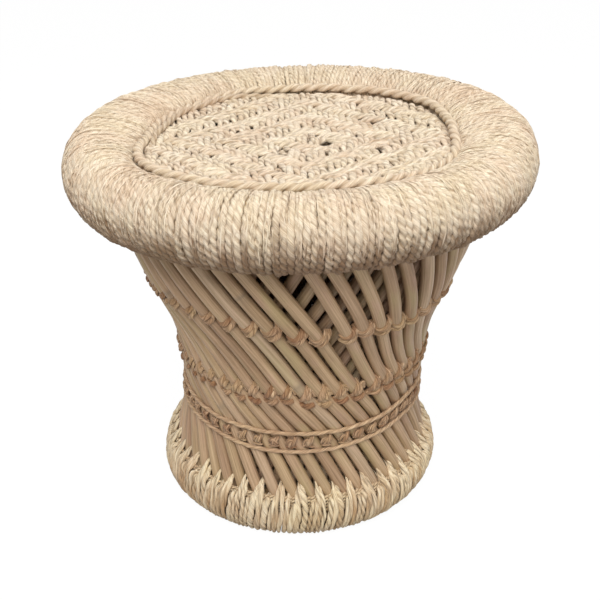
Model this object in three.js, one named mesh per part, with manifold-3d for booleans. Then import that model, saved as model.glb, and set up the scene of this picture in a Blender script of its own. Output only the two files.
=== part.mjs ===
// Mudda stool: a two-layer lattice of crossed canes, drawn in at the waist, between a rope-wound
// base ring and a thick rope-wound rim that carries a woven rope seat.
// Millimetres, +Z up. The origin is the centre of the footprint on the floor. The front faces -Y.
// Angles run from the front towards +X, so they increase counter-clockwise seen from above.

import * as THREE from 'three';
import { mergeVertices } from 'three/addons/utils/BufferGeometryUtils.js';
import Module from 'manifold-3d';

const wasm = await Module();
wasm.setup();

// Driving dimensions of the rim and seat
const overallHeight = 392;
const rimDiameter = 450;
const rimWidth = 59.6;
const rimDepth = 72;
const rimCord = 4.2;
const rimRib = 1.3;
const seatDrop = 14.5;
const seatThickness = 11;
const seatLip = 1.7;
const seatDish = 5.5;
const seatEdgeCord = 5.6;

// Driving dimensions of the base ring
const baseDiameter = 295.6;
const baseWidth = 44.4;
const baseRingHeight = 53;
const baseCord = 4.2;
const baseRib = 1.1;
const baseFlat = 19;
const tuftHeight = 61;
const baseCoreHeight = 30;

// Driving dimensions of the cane lattice, taken on the axes of the outer canes
const waistDiameter = 246.4;
const waistHeight = 138;
const beltDiameter = 238;
const flareHeight = 196;
const shoulderHeight = 266;
const caneGap = 0.15;
const layerGap = 0.7;
const caneFootHeight = 18;
const caneBury = 24;

// How far the axes have moved out from the waist towards the rim at the flare and the shoulder
const flareShare = 0.145;
const shoulderShare = 0.62;

// Driving dimensions of the lashings and the belt
const upperTieHeight = 237;
const upperTieWander = 4;
const upperTieRise = 11;
const middleTieHeight = 161;
const middleTieRise = 15;
const tieRun = 10;
const tieThickness = 3.4;
const tieBand = 8;
const beltHeight = 107.5;
const beltSpan = 24.4;
const beltCord = 4.6;
const beltKnot = 12;
const beltKnotDepth = 6;
const beltKnotNeck = 4.4;

// Clearance that touching pieces keep
const seatingGap = 0.4;

// Counts
const caneCount = 48;
const outerCaneSides = 6;
const innerCaneSides = 5;
const rimRibs = 72;
const rimStations = 36;
const ribsPerCaneGap = 2;
const cordSides = 4;
const beltStations = 48;

// The lean of the canes. The twist is steady along the height, with an extra turn at the waist.
const steadyTwist = 77.7;
const waistTwist = 7.93;
const waistReachShare = 0.135;

// Where the canes cross the upper tie row and the base ring at the front, in degrees. One pair
// of canes stands apart by half as much again. The other canes share the rest of the circle.
const frontTieAngles = [-55, -48.2, -40.3, -32.3, -24.6, -17, -9.5, -2.2, 5.2, 16, 22.7, 29.5, 36.4, 43.5, 50.9];
const frontFootAngles = [-43.2, -36.3, -29.3, -22.1, -13.9, -5.7, 1.9, 9.2, 16.4, 23.5, 30.7, 38.3, 45.9, 53.1, 59.5];
const footLead = 5;
const innerPhase = 1.8;

const fullTurn = 360;

function at(radius, degrees, height) {
  const angle = THREE.MathUtils.degToRad(degrees);
  return new THREE.Vector3(radius * Math.sin(angle), -radius * Math.cos(angle), height);
}

// A ring of flat facets that has to clear a round one inside it is wider at its corners
function faceted(radius, segments) {
  return radius / Math.cos(Math.PI / segments);
}

// A smooth curve through places, each a pair of a height and a value
function through(places) {
  const slopes = places.map((place, i) => {
    const before = places[Math.max(i - 1, 0)];
    const after = places[Math.min(i + 1, places.length - 1)];
    return (after[1] - before[1]) / (after[0] - before[0]);
  });
  return (height) => {
    let i = 0;
    while (i < places.length - 2 && height > places[i + 1][0]) {
      i += 1;
    }
    const [start, low] = places[i];
    const [end, high] = places[i + 1];
    const share = (height - start) / (end - start);
    const reach = end - start;
    return (
      low * (1 + 2 * share) * (1 - share) ** 2 +
      high * share ** 2 * (3 - 2 * share) +
      slopes[i] * reach * share * (1 - share) ** 2 +
      slopes[i + 1] * reach * share ** 2 * (share - 1)
    );
  };
}

// Solids from points and triangles
function closedSolid(points, triangles) {
  let volume = 0;
  for (const [a, b, c] of triangles) {
    volume += points[a].dot(new THREE.Vector3().crossVectors(points[b], points[c]));
  }
  const facing = volume > 0 ? triangles : triangles.map(([a, b, c]) => [a, c, b]);
  const geometry = new THREE.BufferGeometry().setFromPoints(points);
  geometry.setIndex(facing.flat());
  return geometry;
}

// A ring-shaped solid: a closed section repeated at stations all the way round
function closedRing(stations, sides, place) {
  const points = [];
  const triangles = [];
  for (let i = 0; i < stations; i += 1) {
    for (let j = 0; j < sides; j += 1) {
      points.push(place(i, j));
      const a = i * sides + j;
      const b = i * sides + ((j + 1) % sides);
      const c = ((i + 1) % stations) * sides + ((j + 1) % sides);
      const d = ((i + 1) % stations) * sides + j;
      triangles.push([a, b, c], [a, c, d]);
    }
  }
  return closedSolid(points, triangles);
}

// A round cord laid in a ring
function ringCord(radius, height, diameter, stations, sides) {
  return closedRing(stations, sides, (i, j) => {
    const turn = (j / sides) * 2 * Math.PI;
    const reach = radius + (Math.cos(turn) * diameter) / 2;
    return at(reach, (i / stations) * fullTurn, height + (Math.sin(turn) * diameter) / 2);
  });
}

// A solid of revolution from a closed outline of radii and heights
function turned(outline, segments) {
  const points = outline.map(([radius, height]) => new THREE.Vector2(radius, height));
  if (THREE.ShapeUtils.area(points) < 0) {
    points.reverse();
  }
  const geometry = new THREE.LatheGeometry(points, segments);
  geometry.rotateX(Math.PI / 2);
  return geometry;
}

// A winding is a closed skin, open on one side where the canes enter. Its outside has a ridge and
// a valley for each turn, its inside is plain, and two lips join them.
function windingSkin(rings, outsideColumns, outside, stations, insideColumns, inside) {
  const points = [];
  const triangles = [];
  for (let i = 0; i < rings; i += 1) {
    for (let j = 0; j < outsideColumns; j += 1) {
      points.push(outside(i, j));
    }
  }
  for (let i = 0; i < stations; i += 1) {
    for (let j = 0; j < insideColumns; j += 1) {
      points.push(inside(i, j));
    }
  }
  const out = (i, j) => (i % rings) * outsideColumns + j;
  const within = (i, j) => rings * outsideColumns + (i % stations) * insideColumns + j;
  for (let i = 0; i < rings; i += 1) {
    for (let j = 0; j < outsideColumns - 1; j += 1) {
      triangles.push([out(i, j), out(i + 1, j), out(i + 1, j + 1)], [out(i, j), out(i + 1, j + 1), out(i, j + 1)]);
    }
  }
  for (let i = 0; i < stations; i += 1) {
    for (let j = 0; j < insideColumns - 1; j += 1) {
      triangles.push([within(i, j), within(i + 1, j + 1), within(i + 1, j)]);
      triangles.push([within(i, j), within(i, j + 1), within(i + 1, j + 1)]);
    }
  }
  const nearest = (i) => Math.round((i * stations) / rings);
  for (let i = 0; i < rings; i += 1) {
    const near = nearest(i);
    const next = nearest(i + 1);
    const far = insideColumns - 1;
    const last = outsideColumns - 1;
    triangles.push([out(i, 0), within(near, 0), out(i + 1, 0)]);
    triangles.push([out(i, last), out(i + 1, last), within(near, far)]);
    if (next !== near) {
      triangles.push([out(i + 1, 0), within(near, 0), within(next, 0)]);
      triangles.push([out(i + 1, last), within(next, far), within(near, far)]);
    }
  }
  return closedSolid(points, triangles);
}

// Booleans
function toManifold(geometry) {
  geometry.deleteAttribute('normal');
  geometry.deleteAttribute('uv');
  const merged = mergeVertices(geometry);
  const vertProperties = new Float32Array(merged.attributes.position.array);
  const triVerts = new Uint32Array(merged.index.array);
  return new wasm.Manifold(new wasm.Mesh({ numProp: 3, vertProperties, triVerts }));
}

function fromManifold(manifold) {
  const mesh = manifold.getMesh();
  const geometry = new THREE.BufferGeometry();
  geometry.setAttribute('position', new THREE.BufferAttribute(mesh.vertProperties, 3));
  geometry.setIndex(new THREE.BufferAttribute(mesh.triVerts, 1));
  return geometry;
}

// Derived sizes of the rim
const rimRadius = rimDiameter / 2 - rimWidth / 2;
const rimMiddle = overallHeight - rimDepth / 2;
const rimUnderside = overallHeight - rimDepth;
const caneHeadHeight = rimUnderside + caneBury;
const seatTop = overallHeight - seatDrop;

// Derived sizes of the base ring
const baseRadius = baseDiameter / 2 - baseWidth / 2;
const baseMiddle = baseRingHeight / 2;

// The surface that the outer canes' axes lie on
const crownRadius = rimRadius - rimWidth / 4;
const footRadius = baseDiameter / 2 - baseCord * 3;
const waistRadius = waistDiameter / 2;
const axisRadius = through([
  [0, footRadius],
  [caneFootHeight, footRadius],
  [beltHeight, beltDiameter / 2],
  [waistHeight, waistRadius],
  [flareHeight, THREE.MathUtils.lerp(waistRadius, crownRadius, flareShare)],
  [shoulderHeight, THREE.MathUtils.lerp(waistRadius, crownRadius, shoulderShare)],
  [caneHeadHeight, crownRadius],
]);

function twist(height) {
  const drop = (waistHeight - height) / overallHeight;
  return steadyTwist * drop + waistTwist * Math.tanh(drop / waistReachShare);
}

// Angles of all canes at a row, from those known at the front
function aroundCircle(front) {
  const rest = caneCount - front.length + 1;
  const last = front[front.length - 1];
  const pitch = (front[0] + fullTurn - last) / rest;
  const angles = [...front];
  for (let i = 1; i < rest; i += 1) {
    angles.push(last + pitch * i);
  }
  return angles;
}

const tieAngles = aroundCircle(frontTieAngles);
const footRow = aroundCircle(frontFootAngles);
const footAngles = tieAngles.map((_, k) => footRow[(k + footLead) % caneCount] + (k + footLead < caneCount ? 0 : fullTurn));
const tieTwist = twist(upperTieHeight);
const fullTwist = twist(tuftHeight) - tieTwist;

function outerAngle(k, height) {
  const share = (twist(height) - tieTwist) / fullTwist;
  return tieAngles[k] + (footAngles[k] - tieAngles[k]) * share;
}

function innerAngle(k, height) {
  return innerPhase + (k / caneCount) * fullTurn - twist(height) + tieTwist;
}

function widestGap(height) {
  const gaps = tieAngles.map((_, k) => {
    const gap = outerAngle((k + 1) % caneCount, height) - outerAngle(k, height);
    return (gap + fullTurn) % fullTurn;
  });
  return Math.max(...gaps);
}

// The heights at which the canes bend, with straight runs between them
const stationHeights = [
  caneFootHeight,
  tuftHeight,
  beltHeight,
  middleTieHeight,
  flareHeight,
  shoulderHeight,
  caneHeadHeight,
].sort((a, b) => a - b);
const caneSteps = stationHeights.length - 1;

function stepBelow(place) {
  return THREE.MathUtils.clamp(Math.floor(place), 0, caneSteps - 1);
}

function heightAlong(share) {
  const step = stepBelow(share * caneSteps);
  return THREE.MathUtils.lerp(stationHeights[step], stationHeights[step + 1], share * caneSteps - step);
}

// A height's place among the stations, counted in steps from the foot
function stationPlace(height) {
  let step = 0;
  while (step < caneSteps - 1 && height > stationHeights[step + 1]) {
    step += 1;
  }
  return step + (height - stationHeights[step]) / (stationHeights[step + 1] - stationHeights[step]);
}

// A cane's axis, with its stations at those heights
class CaneAxis extends THREE.Curve {
  constructor(angleAt, inset) {
    super();
    Object.assign(this, { angleAt, inset });
  }

  getPoint(share) {
    const height = heightAlong(share);
    return at(axisRadius(height) - this.inset, this.angleAt(height), height);
  }

  getUtoTmapping(share) {
    return share;
  }

  // The point at a height on the straight runs between the stations
  runPoint(height) {
    const place = stationPlace(height);
    const step = stepBelow(place);
    const start = this.getPoint(step / caneSteps);
    return start.lerp(this.getPoint((step + 1) / caneSteps), place - step);
  }
}

const outerAxes = tieAngles.map((_, k) => new CaneAxis((z) => outerAngle(k, z), 0));

// The canes are as thick as the closest pair of axes allows
function closestPitch() {
  let closest = Infinity;
  const samples = caneSteps * 4;
  for (let i = 0; i <= samples; i += 1) {
    const height = heightAlong(i / samples);
    for (let k = 0; k < caneCount; k += 1) {
      const here = outerAxes[k].runPoint(height);
      const next = outerAxes[(k + 1) % caneCount];
      const other = next.runPoint(height);
      const along = next.getTangent(i / samples);
      const across = other.sub(here);
      closest = Math.min(closest, across.sub(along.multiplyScalar(across.dot(along))).length());
    }
  }
  return closest;
}

const caneDiameter = closestPitch() - caneGap;

// Where the lattice flares, a cane cut level is wider than its diameter by this factor
function flareStretch(height) {
  const place = THREE.MathUtils.clamp(stationPlace(height), 0, caneSteps);
  const flares = [Math.floor(place), Math.ceil(place)].map((step) => {
    const low = stationHeights[Math.max(step - 1, 0)];
    const high = stationHeights[Math.min(step + 1, caneSteps)];
    return Math.abs(axisRadius(high) - axisRadius(low)) / (high - low);
  });
  return Math.hypot(1, Math.max(...flares));
}

// The distances of canes' axes from the middle of the stool, at a height
function axisDistances(axes, height) {
  return axes.map((axis) => {
    const point = axis.runPoint(height);
    return Math.hypot(point.x, point.y);
  });
}

function innerAxes(inset) {
  return tieAngles.map((_, k) => new CaneAxis((z) => innerAngle(k, z), inset));
}

// The inner layer lies a cane's thickness inside the outer one. Where the outer canes' straight
// runs cut in further than the inner ones', it moves in by as much.
function layerDistance() {
  const plain = (caneDiameter + layerGap) * flareStretch(shoulderHeight);
  const inner = innerAxes(plain);
  const samples = caneSteps * 4;
  let least = Infinity;
  for (let i = 0; i <= samples; i += 1) {
    const height = heightAlong(i / samples);
    const room = Math.min(...axisDistances(outerAxes, height)) - Math.max(...axisDistances(inner, height));
    least = Math.min(least, room);
  }
  return plain + (plain - least);
}

const layerPitch = layerDistance();

// How far out and how far in the outer canes reach at a height
function outerReach(height) {
  return Math.max(...axisDistances(outerAxes, height)) + (caneDiameter / 2) * flareStretch(height);
}

function innerReach(height) {
  return Math.min(...axisDistances(outerAxes, height)) - (caneDiameter / 2) * flareStretch(height);
}

function caneSection(sides) {
  const corners = [];
  for (let i = 0; i < sides; i += 1) {
    const turn = (i / sides) * 2 * Math.PI;
    corners.push(new THREE.Vector2(Math.cos(turn), Math.sin(turn)).multiplyScalar(caneDiameter / 2));
  }
  return new THREE.Shape(corners);
}

function caneGeometry(axis, sides) {
  return new THREE.ExtrudeGeometry(caneSection(sides), { steps: caneSteps, extrudePath: axis });
}

// The core of the base ring, between the outer canes and the inside of the winding. The feet of
// the inner canes are bound into it, so it is one body with them.
function innerLattice() {
  const inside = baseRadius - baseWidth / 2 + baseCord + baseRib + seatingGap;
  const footInside = baseRadius - baseFlat / 2 + baseCord;
  const foot = baseMiddle - baseCoreHeight / 2;
  const head = baseMiddle + baseCoreHeight / 2;
  const bevel = baseCord;
  const outsideFoot = innerReach(caneFootHeight) - seatingGap;
  const outsideHead = innerReach(head) - seatingGap;
  let lattice = toManifold(turned([
    [footInside, foot],
    [outsideFoot - bevel, foot],
    [outsideFoot, foot + bevel],
    [outsideHead, head],
    [inside, head],
    [inside, baseMiddle],
    [footInside, foot],
  ], caneCount));
  for (const axis of innerAxes(layerPitch)) {
    lattice = lattice.add(toManifold(caneGeometry(axis, innerCaneSides)));
  }
  return fromManifold(lattice);
}

// The winding of the base ring. Its turns gather into a tuft in each gap between two outer canes.
function baseWinding() {
  const rings = caneCount * ribsPerCaneGap * 2;
  const facets = fullTurn / widestGap(baseRingHeight);
  const lipRadius = faceted(outerReach(baseRingHeight - baseRib) + seatingGap, facets);
  const wall = faceted(outerReach(caneFootHeight) + seatingGap, facets);
  const halfWidth = baseWidth / 2;
  const arc = [35, -5, -45];
  const outsideOutline = [
    [lipRadius + baseCord / 2, baseRingHeight],
    ...arc.map((degrees) => {
      const angle = THREE.MathUtils.degToRad(degrees);
      return [baseRadius + halfWidth * Math.cos(angle), baseMiddle + baseMiddle * Math.sin(angle)];
    }),
    [baseRadius + baseFlat / 2, 0],
    [baseRadius - baseFlat / 2, 0],
    [baseRadius - halfWidth, baseMiddle],
    [baseRadius - halfWidth + baseCord, baseRingHeight],
  ];
  const insideOutline = [
    [lipRadius, baseRingHeight - baseRib],
    [Math.max(wall, baseRadius + halfWidth - baseCord - baseRib), baseMiddle],
    [baseRadius + baseFlat / 2 + baseCord, baseCord],
    [baseRadius - baseFlat / 2, baseCord],
    [baseRadius - halfWidth + baseCord, baseMiddle],
    [baseRadius - halfWidth + baseCord + baseRib, baseRingHeight - baseCord],
  ];
  const slant = fullTurn / (rings / 2);
  const tuftShares = [0, 0.36, 0.5, 0.64];
  const ringsPerGap = ribsPerCaneGap * 2;
  const outside = (i, j) => {
    const cane = Math.floor(i / ringsPerGap);
    const step = i % ringsPerGap;
    const start = outerAngle(cane, baseRingHeight);
    const end = outerAngle((cane + 1) % caneCount, baseRingHeight);
    const gap = (end - start + fullTurn) % fullTurn;
    const even = step / ringsPerGap;
    const gathered = j === 0 ? tuftShares[step] : even;
    const flat = j === 4 || j === 5;
    const lift = flat ? 0 : baseRib * (step % 2 === 1 ? 1 : -1);
    const [radius, height] = outsideOutline[j];
    const rise = j === 0 && step > 0 ? tuftHeight - baseRingHeight : 0;
    const outward = radius > baseRadius ? lift : -lift;
    const reach = j === 0 ? radius : radius + outward;
    return at(reach, start + gap * gathered - slant * (j / outsideOutline.length), height + rise);
  };
  const inside = (i, j) => {
    const [radius, height] = insideOutline[j];
    return at(radius, outerAngle(i, baseRingHeight) - slant * (j / insideOutline.length), height);
  };
  return windingSkin(rings, outsideOutline.length, outside, caneCount, insideOutline.length, inside);
}

// The rim's section: an upright oval, with a shoulder under the seat that covers the cane heads
const rimShoulderHeight = seatTop - seatThickness - seatingGap;
const rimInside = innerReach(rimUnderside) - layerPitch - seatingGap - rimCord;
const rimLip = faceted(outerReach(rimUnderside + rimCord) + seatingGap, rimStations);
const rimArcStart = -78;
const rimArcEnd = 146;
const rimArcPoints = 6;

function rimArc(inset) {
  const outline = [];
  for (let i = 0; i < rimArcPoints; i += 1) {
    const angle = THREE.MathUtils.degToRad(THREE.MathUtils.lerp(rimArcStart, rimArcEnd, i / (rimArcPoints - 1)));
    const radius = rimRadius + (rimWidth / 2 - inset) * Math.cos(angle);
    outline.push([radius, rimMiddle + (rimDepth / 2 - inset) * Math.sin(angle)]);
  }
  return outline;
}

function rimWinding() {
  const outsideOutline = [
    [rimLip + rimRib, rimUnderside + rimRib + rimRib],
    ...rimArc(rimRib),
    [rimInside + rimCord, rimShoulderHeight - rimRib],
    [rimInside, rimUnderside + rimCord],
  ];
  const insideOutline = [
    [rimLip, rimUnderside + rimCord],
    ...rimArc(rimCord + rimRib).slice(1),
    [rimInside + rimCord + rimCord, rimShoulderHeight - rimCord - rimRib],
    [rimInside + rimCord, rimUnderside + rimCord],
  ];
  const slant = fullTurn / rimRibs;
  const outside = (i, j) => {
    const [radius, height] = outsideOutline[j];
    const fromMiddle = new THREE.Vector2(radius - rimRadius, height - rimMiddle).normalize();
    const lift = i % 2 === 0 ? rimRib : -rimRib;
    const share = j / (outsideOutline.length - 1);
    const angle = (i / (rimRibs * 2)) * fullTurn - slant * share;
    return at(radius + lift * fromMiddle.x, angle, height + lift * fromMiddle.y);
  };
  const inside = (i, j) => {
    const [radius, height] = insideOutline[j];
    const share = j / (insideOutline.length - 1);
    return at(radius, (i / rimStations) * fullTurn - slant * share, height);
  };
  return windingSkin(rimRibs * 2, outsideOutline.length, outside, rimStations, insideOutline.length, inside);
}

// The bundle inside the rim. It lies outside the canes and over their heads.
function rimCore() {
  const facetDepth = faceted(rimDiameter / 2, rimStations) - rimDiameter / 2;
  const fit = rimCord + rimRib + seatingGap + facetDepth;
  const arc = rimArc(fit).slice(1);
  const headTop = caneHeadHeight + caneDiameter / 2 + seatingGap;
  const besideHeads = faceted(outerReach(headTop) + seatingGap, rimStations);
  const besideFoot = faceted(outerReach(rimUnderside + fit) + seatingGap + seatingGap, rimStations);
  return turned([
    [besideFoot, rimUnderside + fit],
    ...arc,
    [rimInside + fit + rimCord, rimShoulderHeight - fit],
    [rimInside + fit + rimCord, headTop],
    [besideHeads, headTop],
    [besideFoot, rimUnderside + fit],
  ], rimStations);
}

// The woven seat: a mat that sinks a little towards its middle
const seatRadius = rimRadius - (rimWidth / 2) * Math.sqrt(1 - ((seatTop - rimMiddle) / (rimDepth / 2)) ** 2) - rimRib - seatingGap;

function wovenSeat() {
  const dishShares = [[0, 1], [0.3, 1], [0.68, 0.5], [0.98, 0]];
  const top = dishShares.map(([reach, sink]) => [seatRadius * reach, seatTop - seatDish * sink]);
  const edge = [seatRadius, seatTop - seatLip];
  const underEdge = [rimInside + rimCord, seatTop - seatThickness];
  return turned([...top, edge, underEdge, [0, top[0][1] - seatThickness]], rimStations);
}

function seatEdge() {
  const height = seatTop + seatEdgeCord / 2 + seatingGap;
  return ringCord(seatRadius - seatEdgeCord / 2, height, seatEdgeCord, rimStations, cordSides);
}

// A lashing is one band that laces round the stool: up across the face of each outer cane, the way
// the inner canes lean, and down again in the gap before the next
function laceRow(heightAt, rise) {
  return closedRing(caneCount * 2, 3, (i, j) => {
    const cane = Math.floor(i / 2);
    const row = heightAt(tieAngles[cane]);
    const side = i % 2 === 0 ? -1 : 1;
    const height = row + (side * rise) / 2;
    const [crown, offset] = [[tieThickness, 0], [0, tieBand / 2], [0, -tieBand / 2]][j];
    const back = outerReach(height + offset) + seatingGap;
    const run = THREE.MathUtils.radToDeg(tieRun / back);
    return at(back + crown, outerAngle(cane, row) + (side * run) / 2, height + offset);
  });
}

function upperTie() {
  return laceRow((degrees) => {
    const angle = THREE.MathUtils.degToRad(degrees);
    return upperTieHeight + upperTieWander * Math.sin(angle * 2);
  }, upperTieRise);
}

// The belt: two plain cords with a chain of knots between them
function beltRing(height) {
  return ringCord(outerReach(height) + beltCord / 2 + seatingGap, height, beltCord, beltStations, cordSides);
}

function beltKnots() {
  return closedRing(caneCount * 2, cordSides, (i, j) => {
    const knot = i % 2 === 0;
    const [tall, deep] = knot ? [beltKnot, beltKnotDepth] : [beltKnotNeck, beltKnotNeck];
    const reach = Math.max(outerReach(beltHeight + tall / 2), outerReach(beltHeight - tall / 2));
    const turn = (j / cordSides) * 2 * Math.PI;
    const radius = reach + seatingGap + deep / 2 + (Math.cos(turn) * deep) / 2;
    return at(radius, (i / (caneCount * 2)) * fullTurn, beltHeight + (Math.sin(turn) * tall) / 2);
  });
}

// Materials
const caneTones = [0xa98f68, 0xb59a74, 0x9c8460, 0xb39279, 0xa38c63];
const caneMaterials = caneTones.map((color) => new THREE.MeshStandardMaterial({ color, roughness: 0.62, metalness: 0 }));
const innerCaneMaterial = new THREE.MeshStandardMaterial({ color: 0x93795a, roughness: 0.7, metalness: 0 });
const paleRope = new THREE.MeshStandardMaterial({ color: 0xd9c4a0, roughness: 0.9, metalness: 0 });
const strawRope = new THREE.MeshStandardMaterial({ color: 0xc8ad80, roughness: 0.9, metalness: 0 });
const brownCord = new THREE.MeshStandardMaterial({ color: 0xa98662, roughness: 0.88, metalness: 0 });
const grassBundle = new THREE.MeshStandardMaterial({ color: 0xb9a67c, roughness: 0.92, metalness: 0 });

// The stool
const stool = new THREE.Group();

function place(name, geometry, material) {
  const mesh = new THREE.Mesh(geometry, material);
  mesh.name = name;
  stool.add(mesh);
}

outerAxes.forEach((axis, k) => {
  const number = String(k + 1).padStart(2, '0');
  place(`outer_cane_${number}`, caneGeometry(axis, outerCaneSides), caneMaterials[k % caneMaterials.length]);
});
place('inner_cane_lattice', innerLattice(), innerCaneMaterial);
place('base_winding', baseWinding(), strawRope);
place('rim_core', rimCore(), grassBundle);
place('rim_winding', rimWinding(), paleRope);
place('woven_seat', wovenSeat(), paleRope);
place('seat_edge_cord', seatEdge(), paleRope);
place('upper_tie_cord', upperTie(), brownCord);
place('middle_tie_cord', laceRow(() => middleTieHeight, middleTieRise), brownCord);
place('belt_top_cord', beltRing(beltHeight + beltSpan / 2), strawRope);
place('belt_bottom_cord', beltRing(beltHeight - beltSpan / 2), strawRope);
place('belt_knot_chain', beltKnots(), brownCord);

export default stool;
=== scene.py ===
"""Looks of a mudda stool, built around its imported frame.

Lengths in this file are millimetres until a mesh is made, which is in metres. The origin is the
middle of the footprint on the floor, +Z is up and the front faces -Y. Angles are degrees, from
the front towards +X.
"""

import math

import bpy
import numpy as np
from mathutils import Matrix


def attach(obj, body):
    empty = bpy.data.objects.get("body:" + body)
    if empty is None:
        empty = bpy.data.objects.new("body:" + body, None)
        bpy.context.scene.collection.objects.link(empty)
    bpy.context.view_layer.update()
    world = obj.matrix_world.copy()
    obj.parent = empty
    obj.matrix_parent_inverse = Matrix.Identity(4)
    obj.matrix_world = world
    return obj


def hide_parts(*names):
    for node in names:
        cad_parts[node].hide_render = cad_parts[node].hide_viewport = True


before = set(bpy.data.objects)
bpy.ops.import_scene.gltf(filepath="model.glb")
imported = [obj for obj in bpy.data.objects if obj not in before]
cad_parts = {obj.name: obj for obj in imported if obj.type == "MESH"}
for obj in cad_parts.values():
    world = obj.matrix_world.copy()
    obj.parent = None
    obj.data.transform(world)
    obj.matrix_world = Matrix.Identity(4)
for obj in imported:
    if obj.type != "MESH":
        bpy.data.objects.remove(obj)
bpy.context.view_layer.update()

MM = 0.001
TURN = 2 * math.pi

# Camera, placed as in the photograph
CAMERA_TILT = 26.82
CAMERA_DISTANCE = 1039.2
CAMERA_AIM_HEIGHT = 196
CAMERA_LENS = 60
CAMERA_SENSOR = 36

# The frame's own sizes
OVERALL_HEIGHT = 392
RIM_DIAMETER = 450
RIM_WIDTH = 59.6
RIM_DEPTH = 72
RIM_INSIDE = 147.87
RIM_LIP = 181.3
SEAT_DROP = 14.5
SEAT_DISH = 5.5
SEAT_RADIUS = 169.6
BASE_DIAMETER = 295.6
BASE_WIDTH = 44.4
BASE_RING_HEIGHT = 53
BASE_FLAT = 19
TUFT_HEIGHT = 61
FOOT_RADIUS = 135.2
BELT_DIAMETER = 238
BELT_HEIGHT = 107.5
BELT_SPAN = 24.4
WAIST_DIAMETER = 246.4
WAIST_HEIGHT = 138
FLARE_HEIGHT = 196
FLARE_SHARE = 0.145
SHOULDER_HEIGHT = 266
SHOULDER_SHARE = 0.62
CANE_FOOT = 18
CANE_HEAD = 344
CANE_DIAMETER = 11.97
LAYER_PITCH = 13.53
UPPER_TIE_HEIGHT = 237
MIDDLE_TIE_HEIGHT = 161

# The lean of the canes
CANE_COUNT = 48
STEADY_TWIST = 77.7
WAIST_TWIST = 7.93
WAIST_REACH_SHARE = 0.135
FRONT_TIE_ANGLES = [
    -55, -48.2, -40.3, -32.3, -24.6, -17, -9.5, -2.2, 5.2, 16, 22.7, 29.5, 36.4, 43.5, 50.9,
]
FRONT_FOOT_ANGLES = [
    -43.2, -36.3, -29.3, -22.1, -13.9, -5.7, 1.9, 9.2, 16.4, 23.5, 30.7, 38.3, 45.9, 53.1, 59.5,
]
FOOT_LEAD = 5
INNER_PHASE = 1.8

# Derived sizes
RIM_RADIUS = RIM_DIAMETER / 2 - RIM_WIDTH / 2
RIM_MIDDLE = OVERALL_HEIGHT - RIM_DEPTH / 2
RIM_UNDERSIDE = OVERALL_HEIGHT - RIM_DEPTH
SEAT_TOP = OVERALL_HEIGHT - SEAT_DROP
BASE_RADIUS = BASE_DIAMETER / 2 - BASE_WIDTH / 2
BASE_MIDDLE = BASE_RING_HEIGHT / 2
CROWN_RADIUS = RIM_RADIUS - RIM_WIDTH / 4
WAIST_RADIUS = WAIST_DIAMETER / 2
CANE_RADIUS = CANE_DIAMETER / 2


# Places on the frame


def around(radius, degrees, height):
    """Points at radii, angles and heights, which may be arrays that match."""
    radius, degrees, height = np.broadcast_arrays(radius, degrees, height)
    angle = np.radians(degrees)
    return np.stack([radius * np.sin(angle), -radius * np.cos(angle), height], axis=-1).astype(float)


def signed(degrees):
    return (np.asarray(degrees) + 180) % 360 - 180


def by_angle(table, degrees):
    """The value at an angle, from rows of an angle and a value."""
    return np.interp(signed(degrees), *np.array(table, float).T)


def through(places):
    """The frame's smooth curve through pairs of a height and a value."""
    heights, values = np.array(places, float).T
    last = len(places) - 1
    before = np.maximum(np.arange(last + 1) - 1, 0)
    after = np.minimum(np.arange(last + 1) + 1, last)
    slopes = (values[after] - values[before]) / (heights[after] - heights[before])

    def value(height):
        height = np.asarray(height, float)
        i = np.clip(np.searchsorted(heights, height, side="left") - 1, 0, last - 1)
        reach = heights[i + 1] - heights[i]
        share = (height - heights[i]) / reach
        return (
            values[i] * (1 + 2 * share) * (1 - share) ** 2
            + values[i + 1] * share**2 * (3 - 2 * share)
            + slopes[i] * reach * share * (1 - share) ** 2
            + slopes[i + 1] * reach * share**2 * (share - 1)
        )

    return value


def between(start, end, share):
    return start + (end - start) * share


def eased(share):
    """A share from 0 to 1 that starts and ends gently."""
    return share**2 * (3 - 2 * share)


def bell(values, middle, reach):
    """1 at the middle, falling to nearly 0 at twice the reach."""
    return np.exp(-(((values - middle) / reach) ** 2))


axis_radius = through([
    (0, FOOT_RADIUS),
    (CANE_FOOT, FOOT_RADIUS),
    (BELT_HEIGHT, BELT_DIAMETER / 2),
    (WAIST_HEIGHT, WAIST_RADIUS),
    (FLARE_HEIGHT, between(WAIST_RADIUS, CROWN_RADIUS, FLARE_SHARE)),
    (SHOULDER_HEIGHT, between(WAIST_RADIUS, CROWN_RADIUS, SHOULDER_SHARE)),
    (CANE_HEAD, CROWN_RADIUS),
])


def twist(height):
    drop = (WAIST_HEIGHT - np.asarray(height, float)) / OVERALL_HEIGHT
    return STEADY_TWIST * drop + WAIST_TWIST * np.tanh(drop / WAIST_REACH_SHARE)


def around_circle(front, count):
    """Angles of a whole row, from those known at the front."""
    rest = count - len(front) + 1
    pitch = (front[0] + 360 - front[-1]) / rest
    return np.array(front + [front[-1] + pitch * i for i in range(1, rest)])


tie_angles = around_circle(FRONT_TIE_ANGLES, CANE_COUNT)
foot_numbers = np.arange(CANE_COUNT) + FOOT_LEAD
foot_angles = around_circle(FRONT_FOOT_ANGLES, CANE_COUNT)[foot_numbers % CANE_COUNT]
foot_angles = foot_angles + np.where(foot_numbers < CANE_COUNT, 0, 360)
tie_twist = twist(UPPER_TIE_HEIGHT)
full_twist = twist(TUFT_HEIGHT) - tie_twist

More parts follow.
